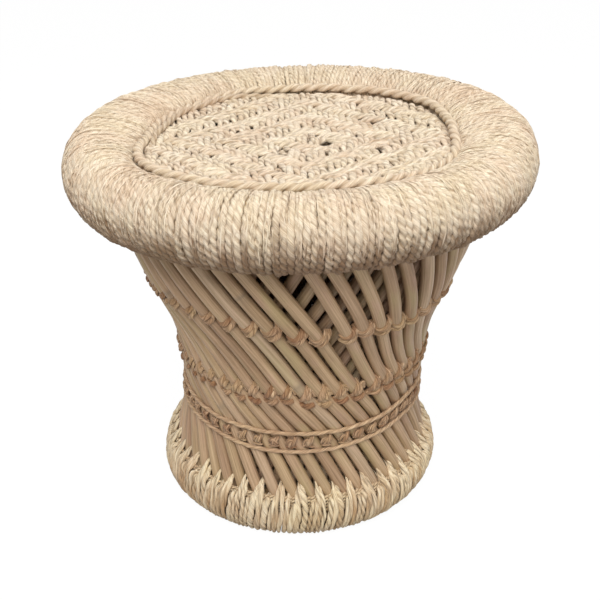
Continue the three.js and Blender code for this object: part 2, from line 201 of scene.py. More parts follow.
# How much further round each cane's head stands, by its place at the upper ties
HEAD_SHIFTS = [
    (-180, 0), (-60, 0), (-35, -1.2), (-17, -1.8), (5.2, -2.2), (16, -0.6), (22.7, -0.3), (29.5, 0.8),
    (36.4, 2.6), (43.5, 1.8), (50.9, 3.4), (58, 2.4), (80, 0.8), (110, 0), (180, 0),
]
HEAD_SHIFT_START = 240
HEAD_SHIFT_END = 312
head_shifts = by_angle(HEAD_SHIFTS, tie_angles)


def outer_angle(cane, height):
    share = (twist(height) - tie_twist) / full_twist
    rise = np.clip((height - HEAD_SHIFT_START) / (HEAD_SHIFT_END - HEAD_SHIFT_START), 0, 1)
    return tie_angles[cane] + (foot_angles[cane] - tie_angles[cane]) * share + head_shifts[cane] * rise


def inner_angle(cane, height):
    return INNER_PHASE + cane / CANE_COUNT * 360 - twist(height) + tie_twist


def outer_face(height):
    """How far out the outer canes reach."""
    return axis_radius(height) + CANE_RADIUS


# Meshes

WAIST_DENT = 5.2
DENT_HEIGHT = 148
DENT_REACH = 75
DENT_POWER = 1.5
UPWARD = np.array([0.0, 0.0, 1.0])
# How far apart in the grain cords lie whose seeds differ by 1
SEED_SPACING = 1000

# Reach of a cord's outline round its section, as shares
SOFT_TWO_PLY_SHARES = np.array([1, 0.88, 0.68, 0.88] * 2)
SLIGHT_TWO_PLY_SHARES = np.array([1, 0.97, 0.9, 0.84, 0.9, 0.97] * 2)
STRAW_PLY_SHARES = np.array([1, 0.93, 0.78, 0.78, 0.93] * 2)
FINE_TWO_PLY_SHARES = np.array([1, 0.95, 0.82, 0.68, 0.82, 0.95] * 2)
DEEP_TWO_PLY_SHARES = np.array([1, 0.93, 0.76, 0.56, 0.76, 0.93] * 2)
FINE_THREE_PLY_SHARES = np.array([1, 0.94, 0.78, 0.94] * 3)


def unit(vectors):
    return vectors / np.maximum(np.linalg.norm(vectors, axis=-1, keepdims=True), 1e-9)


def dented(points):
    """The waist is a little narrower at its left."""
    points = points.copy()
    left = np.clip(-points[:, 0] / WAIST_RADIUS, 0, 1) ** DENT_POWER
    points[:, 0] += WAIST_DENT * left * bell(points[:, 2], DENT_HEIGHT, DENT_REACH)
    return points


def add_piece(name, part, material, node=None):
    """A mesh object that rides on the stool, and replaces a node where one is named.

    A part has points in millimetres and quads. Its grain is a straightened place in each point's
    own cord or cane, for the fibres. Its marks are named numbers at the points, for the materials.
    """
    points, quads = part["points"], part["quads"]
    mesh = bpy.data.meshes.new(name)
    mesh.vertices.add(len(points))
    mesh.vertices.foreach_set("co", (dented(points) * MM).astype(np.float32).ravel())
    mesh.loops.add(len(quads) * 4)
    mesh.loops.foreach_set("vertex_index", quads.astype(np.int32).ravel())
    mesh.polygons.add(len(quads))
    mesh.polygons.foreach_set("loop_start", np.arange(len(quads), dtype=np.int32) * 4)
    mesh.polygons.foreach_set("use_smooth", np.ones(len(quads), bool))
    mesh.update(calc_edges=True)
    attribute = mesh.attributes.new("grain", "FLOAT_VECTOR", "POINT")
    attribute.data.foreach_set("vector", (part["grain"] * MM).astype(np.float32).ravel())
    for mark, values in part["marks"].items():
        attribute = mesh.attributes.new(mark, "FLOAT", "POINT")
        attribute.data.foreach_set("value", np.asarray(values, np.float32).ravel())
    mesh.materials.append(material)
    piece = bpy.data.objects.new(name, mesh)
    bpy.context.scene.collection.objects.link(piece)
    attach(piece, "root")
    if node:
        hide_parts(node)


def join_parts(parts):
    """One part from several with the same marks."""
    offsets = np.cumsum([0] + [len(part["points"]) for part in parts[:-1]])
    marks = parts[0]["marks"]
    return {
        "points": np.concatenate([part["points"] for part in parts]),
        "quads": np.concatenate([part["quads"] + offset for part, offset in zip(parts, offsets)]),
        "grain": np.concatenate([part["grain"] for part in parts]),
        "marks": {mark: np.concatenate([part["marks"][mark] for part in parts]) for mark in marks},
    }


def lengths_along(paths):
    """How far along its own path each station lies."""
    steps = np.linalg.norm(np.diff(paths, axis=-2), axis=-1)
    return np.concatenate([np.zeros(steps.shape[:-1] + (1,)), np.cumsum(steps, axis=-1)], axis=-1)


def sweep(
    paths, outward, half_width, half_height, section, closed=False, phase=0.0, tone=0.5, seed=0.0, depth=1.0
):
    """Tubes along paths, an array of tubes by stations by 3, all alike in count.

    outward is the rough direction of their height. section is the outline's reach, as shares, and
    turns by phase, so that plies wind along the tube. depth is how strongly the plies show.
    """
    tubes, stations, _ = paths.shape
    sides = len(section)

    def at_stations(values):
        return np.broadcast_to(np.asarray(values, float), (tubes, stations))[..., None]

    if closed:
        along = unit(np.roll(paths, -1, axis=1) - np.roll(paths, 1, axis=1))
    else:
        along = unit(np.gradient(paths, axis=1))
    up = unit(outward - along * np.sum(outward * along, axis=-1, keepdims=True))
    side = np.cross(along, up)
    turn = np.arange(sides) / sides * TURN
    angle = turn + at_stations(phase)
    half_width = at_stations(half_width)
    half_height = at_stations(half_height)
    hollow = (1 - section) * at_stations(depth)
    across = np.cos(angle) * (1 - hollow) * half_width
    high = np.sin(angle) * (1 - hollow) * half_height
    points = paths[:, :, None] + side[:, :, None] * across[..., None] + up[:, :, None] * high[..., None]
    reach = np.maximum(half_width, half_height)
    length = lengths_along(paths)[..., None] + np.asarray(seed, float).reshape(-1, 1, 1) * SEED_SPACING
    grain = np.stack(np.broadcast_arrays(np.cos(turn) * reach, np.sin(turn) * reach, length), axis=-1)
    index = np.arange(tubes * stations * sides).reshape(tubes, stations, sides)
    here = index if closed else index[:, :-1]
    following = np.roll(index, -1, axis=1) if closed else index[:, 1:]
    quads = [here, np.roll(here, -1, axis=2), np.roll(following, -1, axis=2), following]
    quads = np.stack(quads, axis=-1).reshape(-1, 4)
    if not closed:
        caps = []
        for j in range(sides // 2 - 1):
            caps.append(index[:, 0, [j, sides - 1 - j, sides - 2 - j, j + 1]])
            caps.append(index[:, -1, [j, j + 1, sides - 2 - j, sides - 1 - j]])
        quads = np.concatenate([quads, np.concatenate(caps)])
    # How deep in the crease between plies each point lies, which the materials darken as painted shade.
    groove = hollow / max(1 - section.min(), 0.01)
    tone = np.asarray(tone, float)
    if tone.ndim < 2:
        tone = tone.reshape(-1, 1)
    return {
        "points": points.reshape(-1, 3),
        "quads": quads,
        "grain": grain.reshape(-1, 3),
        "marks": {
            "groove": np.broadcast_to(groove, index.shape).ravel(),
            "tone": np.broadcast_to(tone[..., None], index.shape).ravel(),
        },
    }


def sweep_some(chosen, section, lines):
    """Some of the tubes that lines describes, in named arrays for sweep with a row for each tube."""
    return sweep(section=section, **{name: values[chosen] for name, values in lines.items()})


def start_and_lay(random, paths, lay):
    """The twist of cords, from a start drawn for each, with one turn in each lay."""
    return random.uniform(0, TURN, (len(paths), 1)) + lengths_along(paths) / lay * TURN


def closed_phase(paths, lay):
    """The twist of closed cords, in whole turns, with one turn in about each lay."""
    lengths = lengths_along(paths)
    total = lengths[:, -1:] + np.linalg.norm(paths[:, 0] - paths[:, -1], axis=-1)[:, None]
    return lengths / total * np.round(total / lay) * TURN


def wander(random, tubes, stations, waves, reach):
    """Smooth random lines, one for each tube, mostly within reach of zero."""
    place = np.linspace(0, 1, stations)
    total = np.zeros((tubes, stations))
    for wave in range(1, waves + 1):
        size = random.normal(0, 1, (tubes, 1)) / math.sqrt(waves)
        start = random.uniform(0, TURN, (tubes, 1))
        total += size * np.sin(place * wave * math.pi + start)
    return total * reach


def ring_angles(stations):
    """Angles all the way round, from the back."""
    return np.linspace(180, 540, stations, endpoint=False)


def ring_wave(random, angle, wave, reach):
    """A random wave that closes round a ring."""
    return random.normal(0, reach) * np.sin(np.radians(angle) * wave + random.uniform(0, TURN))


def smoothed_ring(paths, passes):
    for _ in range(passes):
        paths = (np.roll(paths, 1, axis=1) + paths * 2 + np.roll(paths, -1, axis=1)) / 4
    return paths


def evenly(line, count):
    """Evenly spaced points on a line of two or three columns."""
    line = np.array(line, float)
    lengths = lengths_along(line)
    wanted = np.linspace(0, lengths[-1], count)
    return np.stack([np.interp(wanted, lengths, column) for column in line.T], axis=1)


def rounded(outline, passes):
    """The outline with its corners cut again and again, and its ends kept."""
    points = np.array(outline, float)
    for _ in range(passes):
        quarter = between(points[:-1], points[1:], 0.25)
        three = between(points[:-1], points[1:], 0.75)
        points = np.concatenate([points[:1], np.stack([quarter, three], axis=1).reshape(-1, 2), points[-1:]])
    return points


# Materials


def linear(colour):
    """A colour of three bytes, as the shaders want it."""
    shares = np.array(colour, float) / 255
    return tuple(np.where(shares <= 0.04045, shares / 12.92, ((shares + 0.055) / 1.055) ** 2.4)) + (1.0,)


class Nodes:
    """A tree of shader nodes."""

    def __init__(self, tree):
        self.tree = tree

    def put(self, node, sockets):
        """Links a node's sockets to other nodes, or gives them values."""
        for socket, value in sockets.items():
            if isinstance(value, bpy.types.NodeSocket):
                self.tree.links.new(value, node.inputs[socket])
            else:
                node.inputs[socket].default_value = value

    def node(self, kind, sockets, **settings):
        made = self.tree.nodes.new(kind)
        for key, value in settings.items():
            setattr(made, key, value)
        self.put(made, sockets)
        return made

    def in_view(self):
        """1 for rays from the camera, also by way of a mirror or through glass, and else 0."""
        path = self.node("ShaderNodeLightPath", {})
        seen = path.outputs["Is Camera Ray"]
        for kind in ("Is Glossy Ray", "Is Transmission Ray"):
            either = self.node("ShaderNodeMath", {0: seen, 1: path.outputs[kind]}, operation="MAXIMUM")
            seen = either.outputs["Value"]
        return seen

    def mix_shaders(self, factor, first, second, output):
        mix = self.node("ShaderNodeMixShader", {"Fac": factor, 1: first, 2: second})
        self.put(self.tree.nodes[output], {"Surface": mix.outputs["Shader"]})


class Surface(Nodes):
    """A material that reads its place from the meshes' grain and marks."""

    def __init__(self, name):
        self.material = bpy.data.materials.new(name)
        self.material.use_nodes = True
        super().__init__(self.material.node_tree)
        self.shader = self.tree.nodes["Principled BSDF"]

    def mark(self, name, output="Fac"):
        return self.node("ShaderNodeAttribute", {}, attribute_name=name).outputs[output]

    def grain(self, across, along):
        """Grain places, stretched along the fibres."""
        sockets = {"Scale": (across, across, along), "Vector": self.mark("grain", "Vector")}
        return self.node("ShaderNodeMapping", sockets).outputs["Vector"]

    def space(self):
        return self.node("ShaderNodeTexCoord", {}).outputs["Object"]

    def noise(self, place, scale=1.0, detail=4.0, roughness=0.6):
        sockets = {"Vector": place, "Scale": scale, "Detail": detail, "Roughness": roughness}
        return self.node("ShaderNodeTexNoise", sockets).outputs["Fac"]

    def ramp(self, factor, stops):
        made = self.node("ShaderNodeValToRGB", {"Fac": factor})
        elements = made.color_ramp.elements
        while len(elements) < len(stops):
            elements.new(0.5)
        for element, (place, colour) in zip(elements, stops):
            element.position = place
            element.color = linear(colour)
        return made.outputs["Color"]

    def spread(self, factor, low, high, to_low=0.0, to_high=1.0):
        sockets = {"Value": factor, "From Min": low, "From Max": high, "To Min": to_low, "To Max": to_high}
        return self.node("ShaderNodeMapRange", sockets).outputs["Result"]

    def times(self, first, second):
        return self.node("ShaderNodeMath", {0: first, 1: second}, operation="MULTIPLY").outputs["Value"]

    def mix(self, factor, first, second, blend="MIX"):
        """Two colours, each a link or three bytes, mixed by a link or a number."""
        colours = [linear(colour) if isinstance(colour, tuple) else colour for colour in (first, second)]
        sockets = {"Factor": factor, 6: colours[0], 7: colours[1]}
        return self.node("ShaderNodeMix", sockets, data_type="RGBA", blend_type=blend).outputs[2]

    def finish(self, colour, roughness, bump, strength, distance):
        raised = self.node("ShaderNodeBump", {"Strength": strength, "Distance": distance, "Height": bump})
        normal = raised.outputs["Normal"]
        self.put(self.shader, {"Normal": normal, "Base Color": colour, "Roughness": roughness})
        return self.material


def fibre_material(name, streaks, tints, groove, hollow_share=0.45, dull=(228, 214, 200)):
    """Twisted plant fibre: fine streaks along the cord, blotches, and painted shade in the creases between
    the plies.
    """
    surface = Surface(name)
    strands = surface.noise(surface.grain(across=1100, along=70), detail=5, roughness=0.65)
    colour = surface.ramp(strands, list(zip((0.35, 0.5, 0.64), streaks)))
    blotches = surface.noise(surface.space(), scale=22, detail=4)
    tinted = surface.ramp(blotches, list(zip((0.35, 0.5, 0.62), tints)))
    colour = surface.mix(0.5, colour, tinted, "MULTIPLY")
    tone_stops = [(0, dull), (0.5, (248, 244, 238)), (1, (255, 255, 253))]
    by_cord = surface.ramp(surface.mark("tone"), tone_stops)
    colour = surface.mix(0.85, colour, by_cord, "MULTIPLY")
    # Points deep in the ply creases are mixed towards the groove colour: painted shade.
    hollow = surface.times(surface.spread(surface.mark("groove"), 0.35, 1), hollow_share)
    colour = surface.mix(hollow, colour, groove)
    specks = surface.noise(surface.grain(across=2600, along=420), detail=2)
    colour = surface.mix(surface.spread(specks, 0.6, 0.74, to_high=0.5), colour, groove)
    roughness = surface.spread(strands, 0.3, 0.7, to_low=0.95, to_high=0.78)
    surface.put(surface.shader, {"Specular IOR Level": 0.25, "Sheen Weight": 0.12, "Sheen Roughness": 0.5})
    return surface.finish(colour, roughness, strands, strength=0.75, distance=0.0008)


CANE_STREAKS = [(0.3, (152, 129, 105)), (0.5, (187, 164, 138)), (0.7, (210, 189, 164))]
CANE_TONES = [
    (0.0, (216, 196, 178)),
    (0.25, (252, 238, 222)),
    (0.5, (242, 233, 206)),
    (0.75, (248, 226, 216)),
    (1.0, (255, 250, 240)),
]
# Patches, blush, weather and specks: scales across and along, size, detail, where each starts and
# is full in the noise, its most, and its colour
CANE_STAINS = [
    (45, 11, 1.0, 3, 0.52, 0.68, 0.4, (178, 164, 116)),
    (60, 16, 1.7, 3, 0.55, 0.72, 0.36, (194, 156, 136)),
    (160, 30, 1.0, 5, 0.56, 0.74, 0.34, (138, 116, 92)),
    (1500, 620, 1.0, 2, 0.65, 0.75, 0.5, (104, 80, 56)),
]
CANE_JOINT_COLOUR = (124, 110, 94)
CANE_SPLIT_COLOUR = (34, 22, 14)


def cane_material(name, shade=None):
    """Dry cane: long fine streaks, olive and pink patches, specks, joints and a rare split."""
    surface = Surface(name)
    streaks = surface.noise(surface.grain(across=700, along=14), detail=6, roughness=0.6)
    colour = surface.ramp(streaks, CANE_STREAKS)
    by_cane = surface.ramp(surface.mark("tone"), CANE_TONES)
    colour = surface.mix(0.85, colour, by_cane, "MULTIPLY")
    for across, along, scale, detail, start, full, most, stain in CANE_STAINS:
        spots = surface.noise(surface.grain(across, along), scale=scale, detail=detail)
        colour = surface.mix(surface.spread(spots, start, full, to_high=most), colour, stain)
    colour = surface.mix(surface.times(surface.mark("joint"), 0.6), colour, CANE_JOINT_COLOUR)
    colour = surface.mix(surface.mark("split"), colour, CANE_SPLIT_COLOUR)
    # A shade colour darkens the whole cane: painted shade, for canes that lie in shade.
    if shade:
        colour = surface.mix(1.0, colour, shade, "MULTIPLY")
    roughness = surface.spread(streaks, 0.3, 0.7, to_low=0.6, to_high=0.44)
    surface.put(surface.shader, {"Specular IOR Level": 0.4})
    return surface.finish(colour, roughness, streaks, strength=0.3, distance=0.0005)


pale_rope = fibre_material(
    "pale_rope",
    streaks=((196, 174, 146), (237, 221, 200), (253, 245, 230)),
    tints=((244, 230, 219), (252, 249, 243), (248, 246, 232)),
    groove=(150, 120, 88),
    hollow_share=0.55,
    # The dull colour at low tone is mostly the painted shade of the rim's underside.
    dull=(146, 117, 88),
)
seat_rope = fibre_material(
    "seat_rope",
    streaks=((200, 179, 151), (236, 222, 203), (252, 244, 230)),
    tints=((244, 229, 218), (252, 249, 243), (250, 248, 234)),
    groove=(140, 113, 84),
    hollow_share=0.55,
)
straw_rope = fibre_material(
    "straw_rope",
    streaks=((186, 164, 136), (242, 224, 194), (255, 247, 228)),
    tints=((232, 210, 188), (252, 246, 234), (252, 245, 220)),
    groove=(112, 86, 60),
    hollow_share=0.68,
    dull=(206, 184, 158),
)
tie_fibre = fibre_material(
    "tie_fibre",
    streaks=((144, 114, 88), (188, 158, 128), (236, 210, 180)),
    tints=((212, 182, 164), (248, 236, 220), (246, 240, 206)),
    groove=(88, 62, 44),
    hollow_share=0.6,
    dull=(200, 172, 150),
)
belt_rope = fibre_material(
    "belt_rope",
    streaks=((162, 132, 104), (208, 181, 150), (238, 214, 184)),
    tints=((230, 206, 190), (250, 240, 228), (250, 240, 218)),
    groove=(150, 120, 92),
)
# Dark grass, for the bundle inside the base ring and, as painted shade, for the cords under the seat's
# weave.
grass_bundle = fibre_material(
    "grass_bundle",
    streaks=((104, 84, 60), (144, 120, 88), (176, 150, 114)),
    tints=((190, 170, 140), (230, 220, 200), (245, 235, 215)),
    groove=(50, 38, 24),
)
outer_cane = cane_material("outer_cane")
# The inner canes are the cane material darkened as painted shade.
inner_cane = cane_material("inner_cane", shade=(234, 234, 234))


# Canes

OUTER_STATIONS = 84
OUTER_SIDES = 20
INNER_STATIONS = 60
INNER_SIDES = 14
# Canes seen close by in the photograph have more points
FINE_STATIONS = 170
FINE_SIDES = 28
# Heights of the joints and splits that the photograph shows, by cane. A split has its lowest and
# highest place, its angle round the cane in radians and its reach.
SEEN_JOINTS = {6: [279.0], 11: [132.0]}
SEEN_SPLITS = {47: [(61.5, 71.5, 2.15, 0.2)]}
JOINT_CHANCE = 0.3
JOINT_HEIGHTS = (60, 300)
JOINT_SWELL = 0.3
JOINT_SWELL_REACH = 2.2
JOINT_RING_REACH = 1.3
SMEAR_SHARE = 0.45
SMEAR_REACH = 5
SMEAR_TURN = 0.6
SPLIT_TAPER = 3
SPLIT_EDGE = 1.3
CANE_LIFT = 0.3
INNER_FOOT_RISE = 4


def cane_marks(part, stations, sides, heights, joints, splits):
    """Adds each cane's joints and splits to its marks."""
    joint = np.zeros((stations, sides))
    turn = np.arange(sides) / sides * TURN
    for place in joints:
        ring = bell(heights, place, JOINT_RING_REACH)
        smear = SMEAR_SHARE * bell(heights + SMEAR_REACH, place, SMEAR_REACH)
        joint += ring[:, None] + smear[:, None] * np.clip(np.cos(turn - SMEAR_TURN), 0, 1)
    split = np.zeros((stations, sides))
    for low, high, start, spread in splits:
        reach = np.clip(np.minimum(heights - low, high - heights) / SPLIT_TAPER, 0, 1)
        apart = np.abs((turn - start + math.pi) % TURN - math.pi)
        split += reach[:, None] * np.clip(SPLIT_EDGE - apart[None, :] / spread, 0, 1)
    part["marks"]["joint"] = np.clip(joint, 0, 1).ravel()
    part["marks"]["split"] = np.clip(split, 0, 1).ravel()


def cane_line(random, radius, degrees, heights, waves, sway):
    """A cane's path, which sways and lifts a little, and its outward directions."""
    sideways = wander(random, 1, len(heights), waves, sway)[0]
    radius = radius + wander(random, 1, len(heights), waves=4, reach=CANE_LIFT)[0]
    degrees = degrees + np.degrees(sideways / radius)
    return around(radius, degrees, heights)[None], around(1.0, degrees, 0.0)[None]


def make_outer_canes():
    random = np.random.default_rng(11)
    for cane in range(CANE_COUNT):
        fine = cane in SEEN_JOINTS or cane in SEEN_SPLITS
        stations = FINE_STATIONS if fine else OUTER_STATIONS
        sides = FINE_SIDES if fine else OUTER_SIDES
        heights = np.linspace(CANE_FOOT, CANE_HEAD, stations)
        angles = outer_angle(cane, heights)
        path, outward = cane_line(random, axis_radius(heights), angles, heights, waves=5, sway=0.35)
        thick = CANE_RADIUS + random.uniform(-0.05, 0.2) + wander(random, 1, stations, waves=7, reach=0.1)[0]
        joints = list(SEEN_JOINTS.get(cane, []))
        if random.random() < JOINT_CHANCE:
            joints.append(random.uniform(*JOINT_HEIGHTS))
        for place in joints:
            thick = thick + JOINT_SWELL * bell(heights, place, JOINT_SWELL_REACH)
        tone = random.uniform(0, 1)
        part = sweep(path, outward, thick, thick, np.ones(sides), tone=tone, seed=cane * 0.73)
        cane_marks(part, stations, sides, heights, joints, SEEN_SPLITS.get(cane, []))
        name = f"outer_cane_{cane + 1:02d}"
        add_piece(f"{name}_dressed", part, outer_cane, name)


def make_inner_canes():
    random = np.random.default_rng(12)
    heights = np.linspace(CANE_FOOT + INNER_FOOT_RISE, CANE_HEAD, INNER_STATIONS)
    radius = axis_radius(heights) - LAYER_PITCH
    parts = []
    for cane in range(CANE_COUNT):
        angles = inner_angle(cane, heights)
        path, outward = cane_line(random, radius, angles, heights, waves=4, sway=0.5)
        thick = CANE_RADIUS + random.uniform(-0.3, 0.1)
        thick = thick + wander(random, 1, INNER_STATIONS, waves=6, reach=0.12)[0]
        tone = random.uniform(0, 1)
        seed = 200 + cane * 0.61
        parts.append(sweep(path, outward, thick, thick, np.ones(INNER_SIDES), tone=tone, seed=seed))
    add_piece("inner_canes", join_parts(parts), inner_cane, "inner_cane_lattice")


# The rim

RIM_TURNS = 232
RIM_STATIONS = 96
RIM_CORD_REACH = 3.1
RIM_LEAN = 0.023
RIM_FRONT_DROP = 6.5
FRONT_START_SHARE = 0.2
FRONT_REACH_SHARE = 0.9
RIM_CORD_BITE = 1.0
RIM_FOLD_DROP = 4
RIM_FOLD_SWING = 1.5
RIM_SHOULDER_DROP = 11
RIM_WIDTH_SHARES = (1.24, 1.4)
RIM_HEIGHT_SHARES = (0.92, 1.08)
RIM_LAYS = (15.5, 18.5)
RIM_SAG = 0.9
LEAST_SAG = -1.5
MOST_SAG = 2.2
# How far out the seat shows, by angle
SEAT_EDGE = [
    (-180, 157), (-150, 161), (-127, 156), (-110, 153), (-98, 151), (-84, 154), (-70, 163), (-58, 171),
    (-45, 174), (-34, 170), (0, 168), (20, 168), (45, 165), (61, 161), (80, 151), (97, 151), (111, 155),
    (123, 161), (137, 163), (148, 160), (165, 158), (180, 157),
]
# Waves in the rim's turns, each so many round the rim and so many degrees high
RIM_WAVES = ((3, 0.5), (5, 0.4), (9, 0.26), (14, 0.16), (27, 0.1))
# Painted shade on the rim's cords is full up to the first of these heights above its underside and fades out
# over the second.
UNDERSIDE_SHADE_START = 7
UNDERSIDE_SHADE_REACH = 38
RIM_FIBRES = 1900
FIBRE_STATIONS = 11
FIBRE_REACH = 0.55
FIBRE_BEGIN_SHARES = (0.2, 0.75)
FIBRE_LENGTH_SHARES = (0.05, 0.2)
FIBRE_DRIFT = 1.4
FIBRE_SHIFT = 2.2
FIBRE_ARCH = 0.4
# Ring radius, middle height, half width and half height of the bundle inside the rim
RIM_BUNDLE = (RIM_RADIUS, RIM_MIDDLE, RIM_WIDTH / 2 - 3.6, RIM_DEPTH / 2 - 3.8)
BUNDLE_STATIONS = 192
BUNDLE_SIDES = 28


def edge_radius(degrees):
    return by_angle(SEAT_EDGE, degrees)


def leaned(points):
    """The rim and the seat stand a little higher on their right."""
    points = points.copy()
    points[..., 2] += RIM_LEAN * points[..., 0]
    return points


def settled(points):
    """The rim leans as the seat does, and its top is lower at the front."""
    front = -points[..., 1] / np.hypot(points[..., 0], points[..., 1])
    near = np.clip((front + FRONT_START_SHARE) / FRONT_REACH_SHARE, 0, 1)
    points = leaned(points)
    high = np.clip((points[..., 2] - RIM_MIDDLE) / (RIM_DEPTH / 2), 0, 1)
    points[..., 2] -= RIM_FRONT_DROP * eased(near) * high
    return points


def rim_outline(degrees):
    """The middle line of a turn of the rim's cord, from under the lip, over the top, to inside."""
    inner = float(edge_radius(degrees))
    low = SEAT_TOP - RIM_FOLD_DROP - RIM_FOLD_SWING * math.cos(math.radians(degrees))
    inset = RIM_CORD_REACH - RIM_CORD_BITE
    half_width = RIM_WIDTH / 2 - inset
    half_height = RIM_DEPTH / 2 - inset
    outline = [(RIM_LIP + 6, RIM_UNDERSIDE + 12), (RIM_LIP + 2.2, RIM_UNDERSIDE + 5.5)]
    for angle in np.radians(np.linspace(-80, 90, 12)):
        height = RIM_MIDDLE + half_height * math.sin(angle)
        outline.append((RIM_RADIUS + half_width * math.cos(angle), height))
    for angle in np.radians(np.linspace(106, 174, 6)):
        height = between(low, RIM_MIDDLE + half_height, math.sin(angle))
        outline.append((RIM_RADIUS + (RIM_RADIUS - inner) * math.cos(angle), height))
    shoulder = SEAT_TOP - RIM_SHOULDER_DROP
    return outline + [
        (inner + 0.8, low - 6),
        (between(inner, RIM_INSIDE + 3, 0.7), shoulder - 2.5),
        (RIM_INSIDE + 2.4, shoulder - 8),
        (RIM_INSIDE + 2.4, RIM_UNDERSIDE + 8),
        (RIM_INSIDE + 6, RIM_UNDERSIDE + 6),
    ]


def underside_shade_share(height):
    """How near the rim's underside a height is, where its cords are painted darker and browner as shade."""
    return 1 - np.clip((height - RIM_UNDERSIDE - UNDERSIDE_SHADE_START) / UNDERSIDE_SHADE_REACH, 0, 1)


def make_rim_fibres(cords, outward):
    """Single fibres that have come a little loose from their cords and cross their neighbours."""
    random = np.random.default_rng(22)
    each = (RIM_FIBRES, 1)
    chosen = random.integers(0, len(cords), RIM_FIBRES)[:, None]
    begin = random.uniform(*FIBRE_BEGIN_SHARES, each)
    share = np.linspace(0, 1, FIBRE_STATIONS)
    middle_high = np.sin(share * math.pi)
    place = (begin + random.uniform(*FIBRE_LENGTH_SHARES, each) * share) * (cords.shape[1] - 1)
    here = place.astype(int)
    part_way = (place - here)[..., None]
    path = between(cords[chosen, here], cords[chosen, here + 1], part_way)
    out = unit(between(outward[chosen, here], outward[chosen, here + 1], part_way))
    along = unit(np.gradient(path, axis=1))
    drift = random.uniform(-FIBRE_DRIFT, FIBRE_DRIFT, each) * 2 * (share - 0.5)
    drift = drift + random.uniform(-FIBRE_SHIFT, FIBRE_SHIFT, each)
    drift = drift + wander(random, RIM_FIBRES, FIBRE_STATIONS, waves=4, reach=0.5)
    arch = middle_high * random.uniform(0, FIBRE_ARCH, each)
    path = path + np.cross(along, out) * drift[..., None] + out * (RIM_CORD_REACH * 0.84 + arch)[..., None]
    size = FIBRE_REACH * random.uniform(0.6, 1.3, each) * (0.35 + 0.65 * middle_high)
    # Fibres near the rim's underside take the same painted shade as its cords.
    tone = np.clip(random.normal(0.65, 0.22, each) - 1.1 * underside_shade_share(path[..., 2]), 0, 1)
    part = sweep(path, out, size, size * 0.8, np.ones(4), tone=tone, seed=np.arange(RIM_FIBRES) * 0.13)
    add_piece("rim_fibres", part, pale_rope, "rim_winding")


def make_rim_turns():
    random = np.random.default_rng(21)
    shape = (RIM_TURNS, RIM_STATIONS)
    each = (RIM_TURNS, 1)
    place = np.linspace(0, 1, RIM_STATIONS)
    pitch = 360 / RIM_TURNS
    turns = np.arange(RIM_TURNS)
    start = turns * pitch + random.uniform(-0.05, 0.05, RIM_TURNS) * pitch
    outlines = np.array([evenly(rounded(rim_outline(degrees), 1), RIM_STATIONS) for degrees in start])
    angle = start[:, None] - pitch * place[None, :]
    for wave, size in RIM_WAVES:
        begin = random.uniform(0, TURN, 2)
        swing = size * np.sin(np.radians(angle) * wave + begin[0])
        angle = angle + swing * np.sin(place * TURN * 0.8 + begin[1])
    angle = angle + wander(random, *shape, waves=8, reach=0.1 * pitch)
    from_middle = unit(outlines - np.array([RIM_RADIUS, RIM_MIDDLE]))
    lift = wander(random, *shape, waves=9, reach=0.4) + random.normal(0, 0.3, each)
    below = np.clip((RIM_MIDDLE - outlines[:, :, 1]) / (RIM_DEPTH / 2), 0, 1) ** 2
    sag = np.clip(random.normal(0, RIM_SAG, each), LEAST_SAG, MOST_SAG) * below
    radius = outlines[:, :, 0] + lift * from_middle[:, :, 0]
    height = outlines[:, :, 1] + lift * from_middle[:, :, 1] - sag
    paths = settled(around(radius, angle, height))
    outward = around(from_middle[:, :, 0], angle, from_middle[:, :, 1])
    half_width = np.radians(pitch) * radius / 2 * random.uniform(*RIM_WIDTH_SHARES, each)
    half_width = half_width * (1 + wander(random, *shape, waves=24, reach=0.05))
    half_height = RIM_CORD_REACH * random.uniform(*RIM_HEIGHT_SHARES, each)
    half_height = half_height + wander(random, *shape, waves=24, reach=0.12)
    lay = random.uniform(*RIM_LAYS, each)
    slack = wander(random, *shape, waves=5, reach=0.5)
    phase = start_and_lay(random, paths, lay) + slack
    # low is how near the underside a station lies; the tone below drops there as painted shade.
    low = underside_shade_share(height)
    tone = random.normal(0.72, 0.1, each) + wander(random, *shape, waves=14, reach=0.1)
    lines = {
        "paths": paths,
        "outward": outward,
        "half_width": half_width,
        "half_height": half_height,
        "phase": phase,
        "tone": np.clip(tone - 0.9 * low, 0, 1),
        "seed": turns * 0.37,
        "depth": np.clip(0.8 + 0.35 * low + wander(random, *shape, waves=6, reach=0.2), 0.3, 1.2),
    }
    quarter = ((angle[:, RIM_STATIONS // 2] + 45) % 360 // 90).astype(int)
    for number, name in enumerate(("front", "right", "back", "left")):
        part = sweep_some(quarter == number, FINE_TWO_PLY_SHARES, lines)
        add_piece(f"rim_turns_{name}", part, pale_rope, "rim_winding")
    make_rim_fibres(paths, outward)


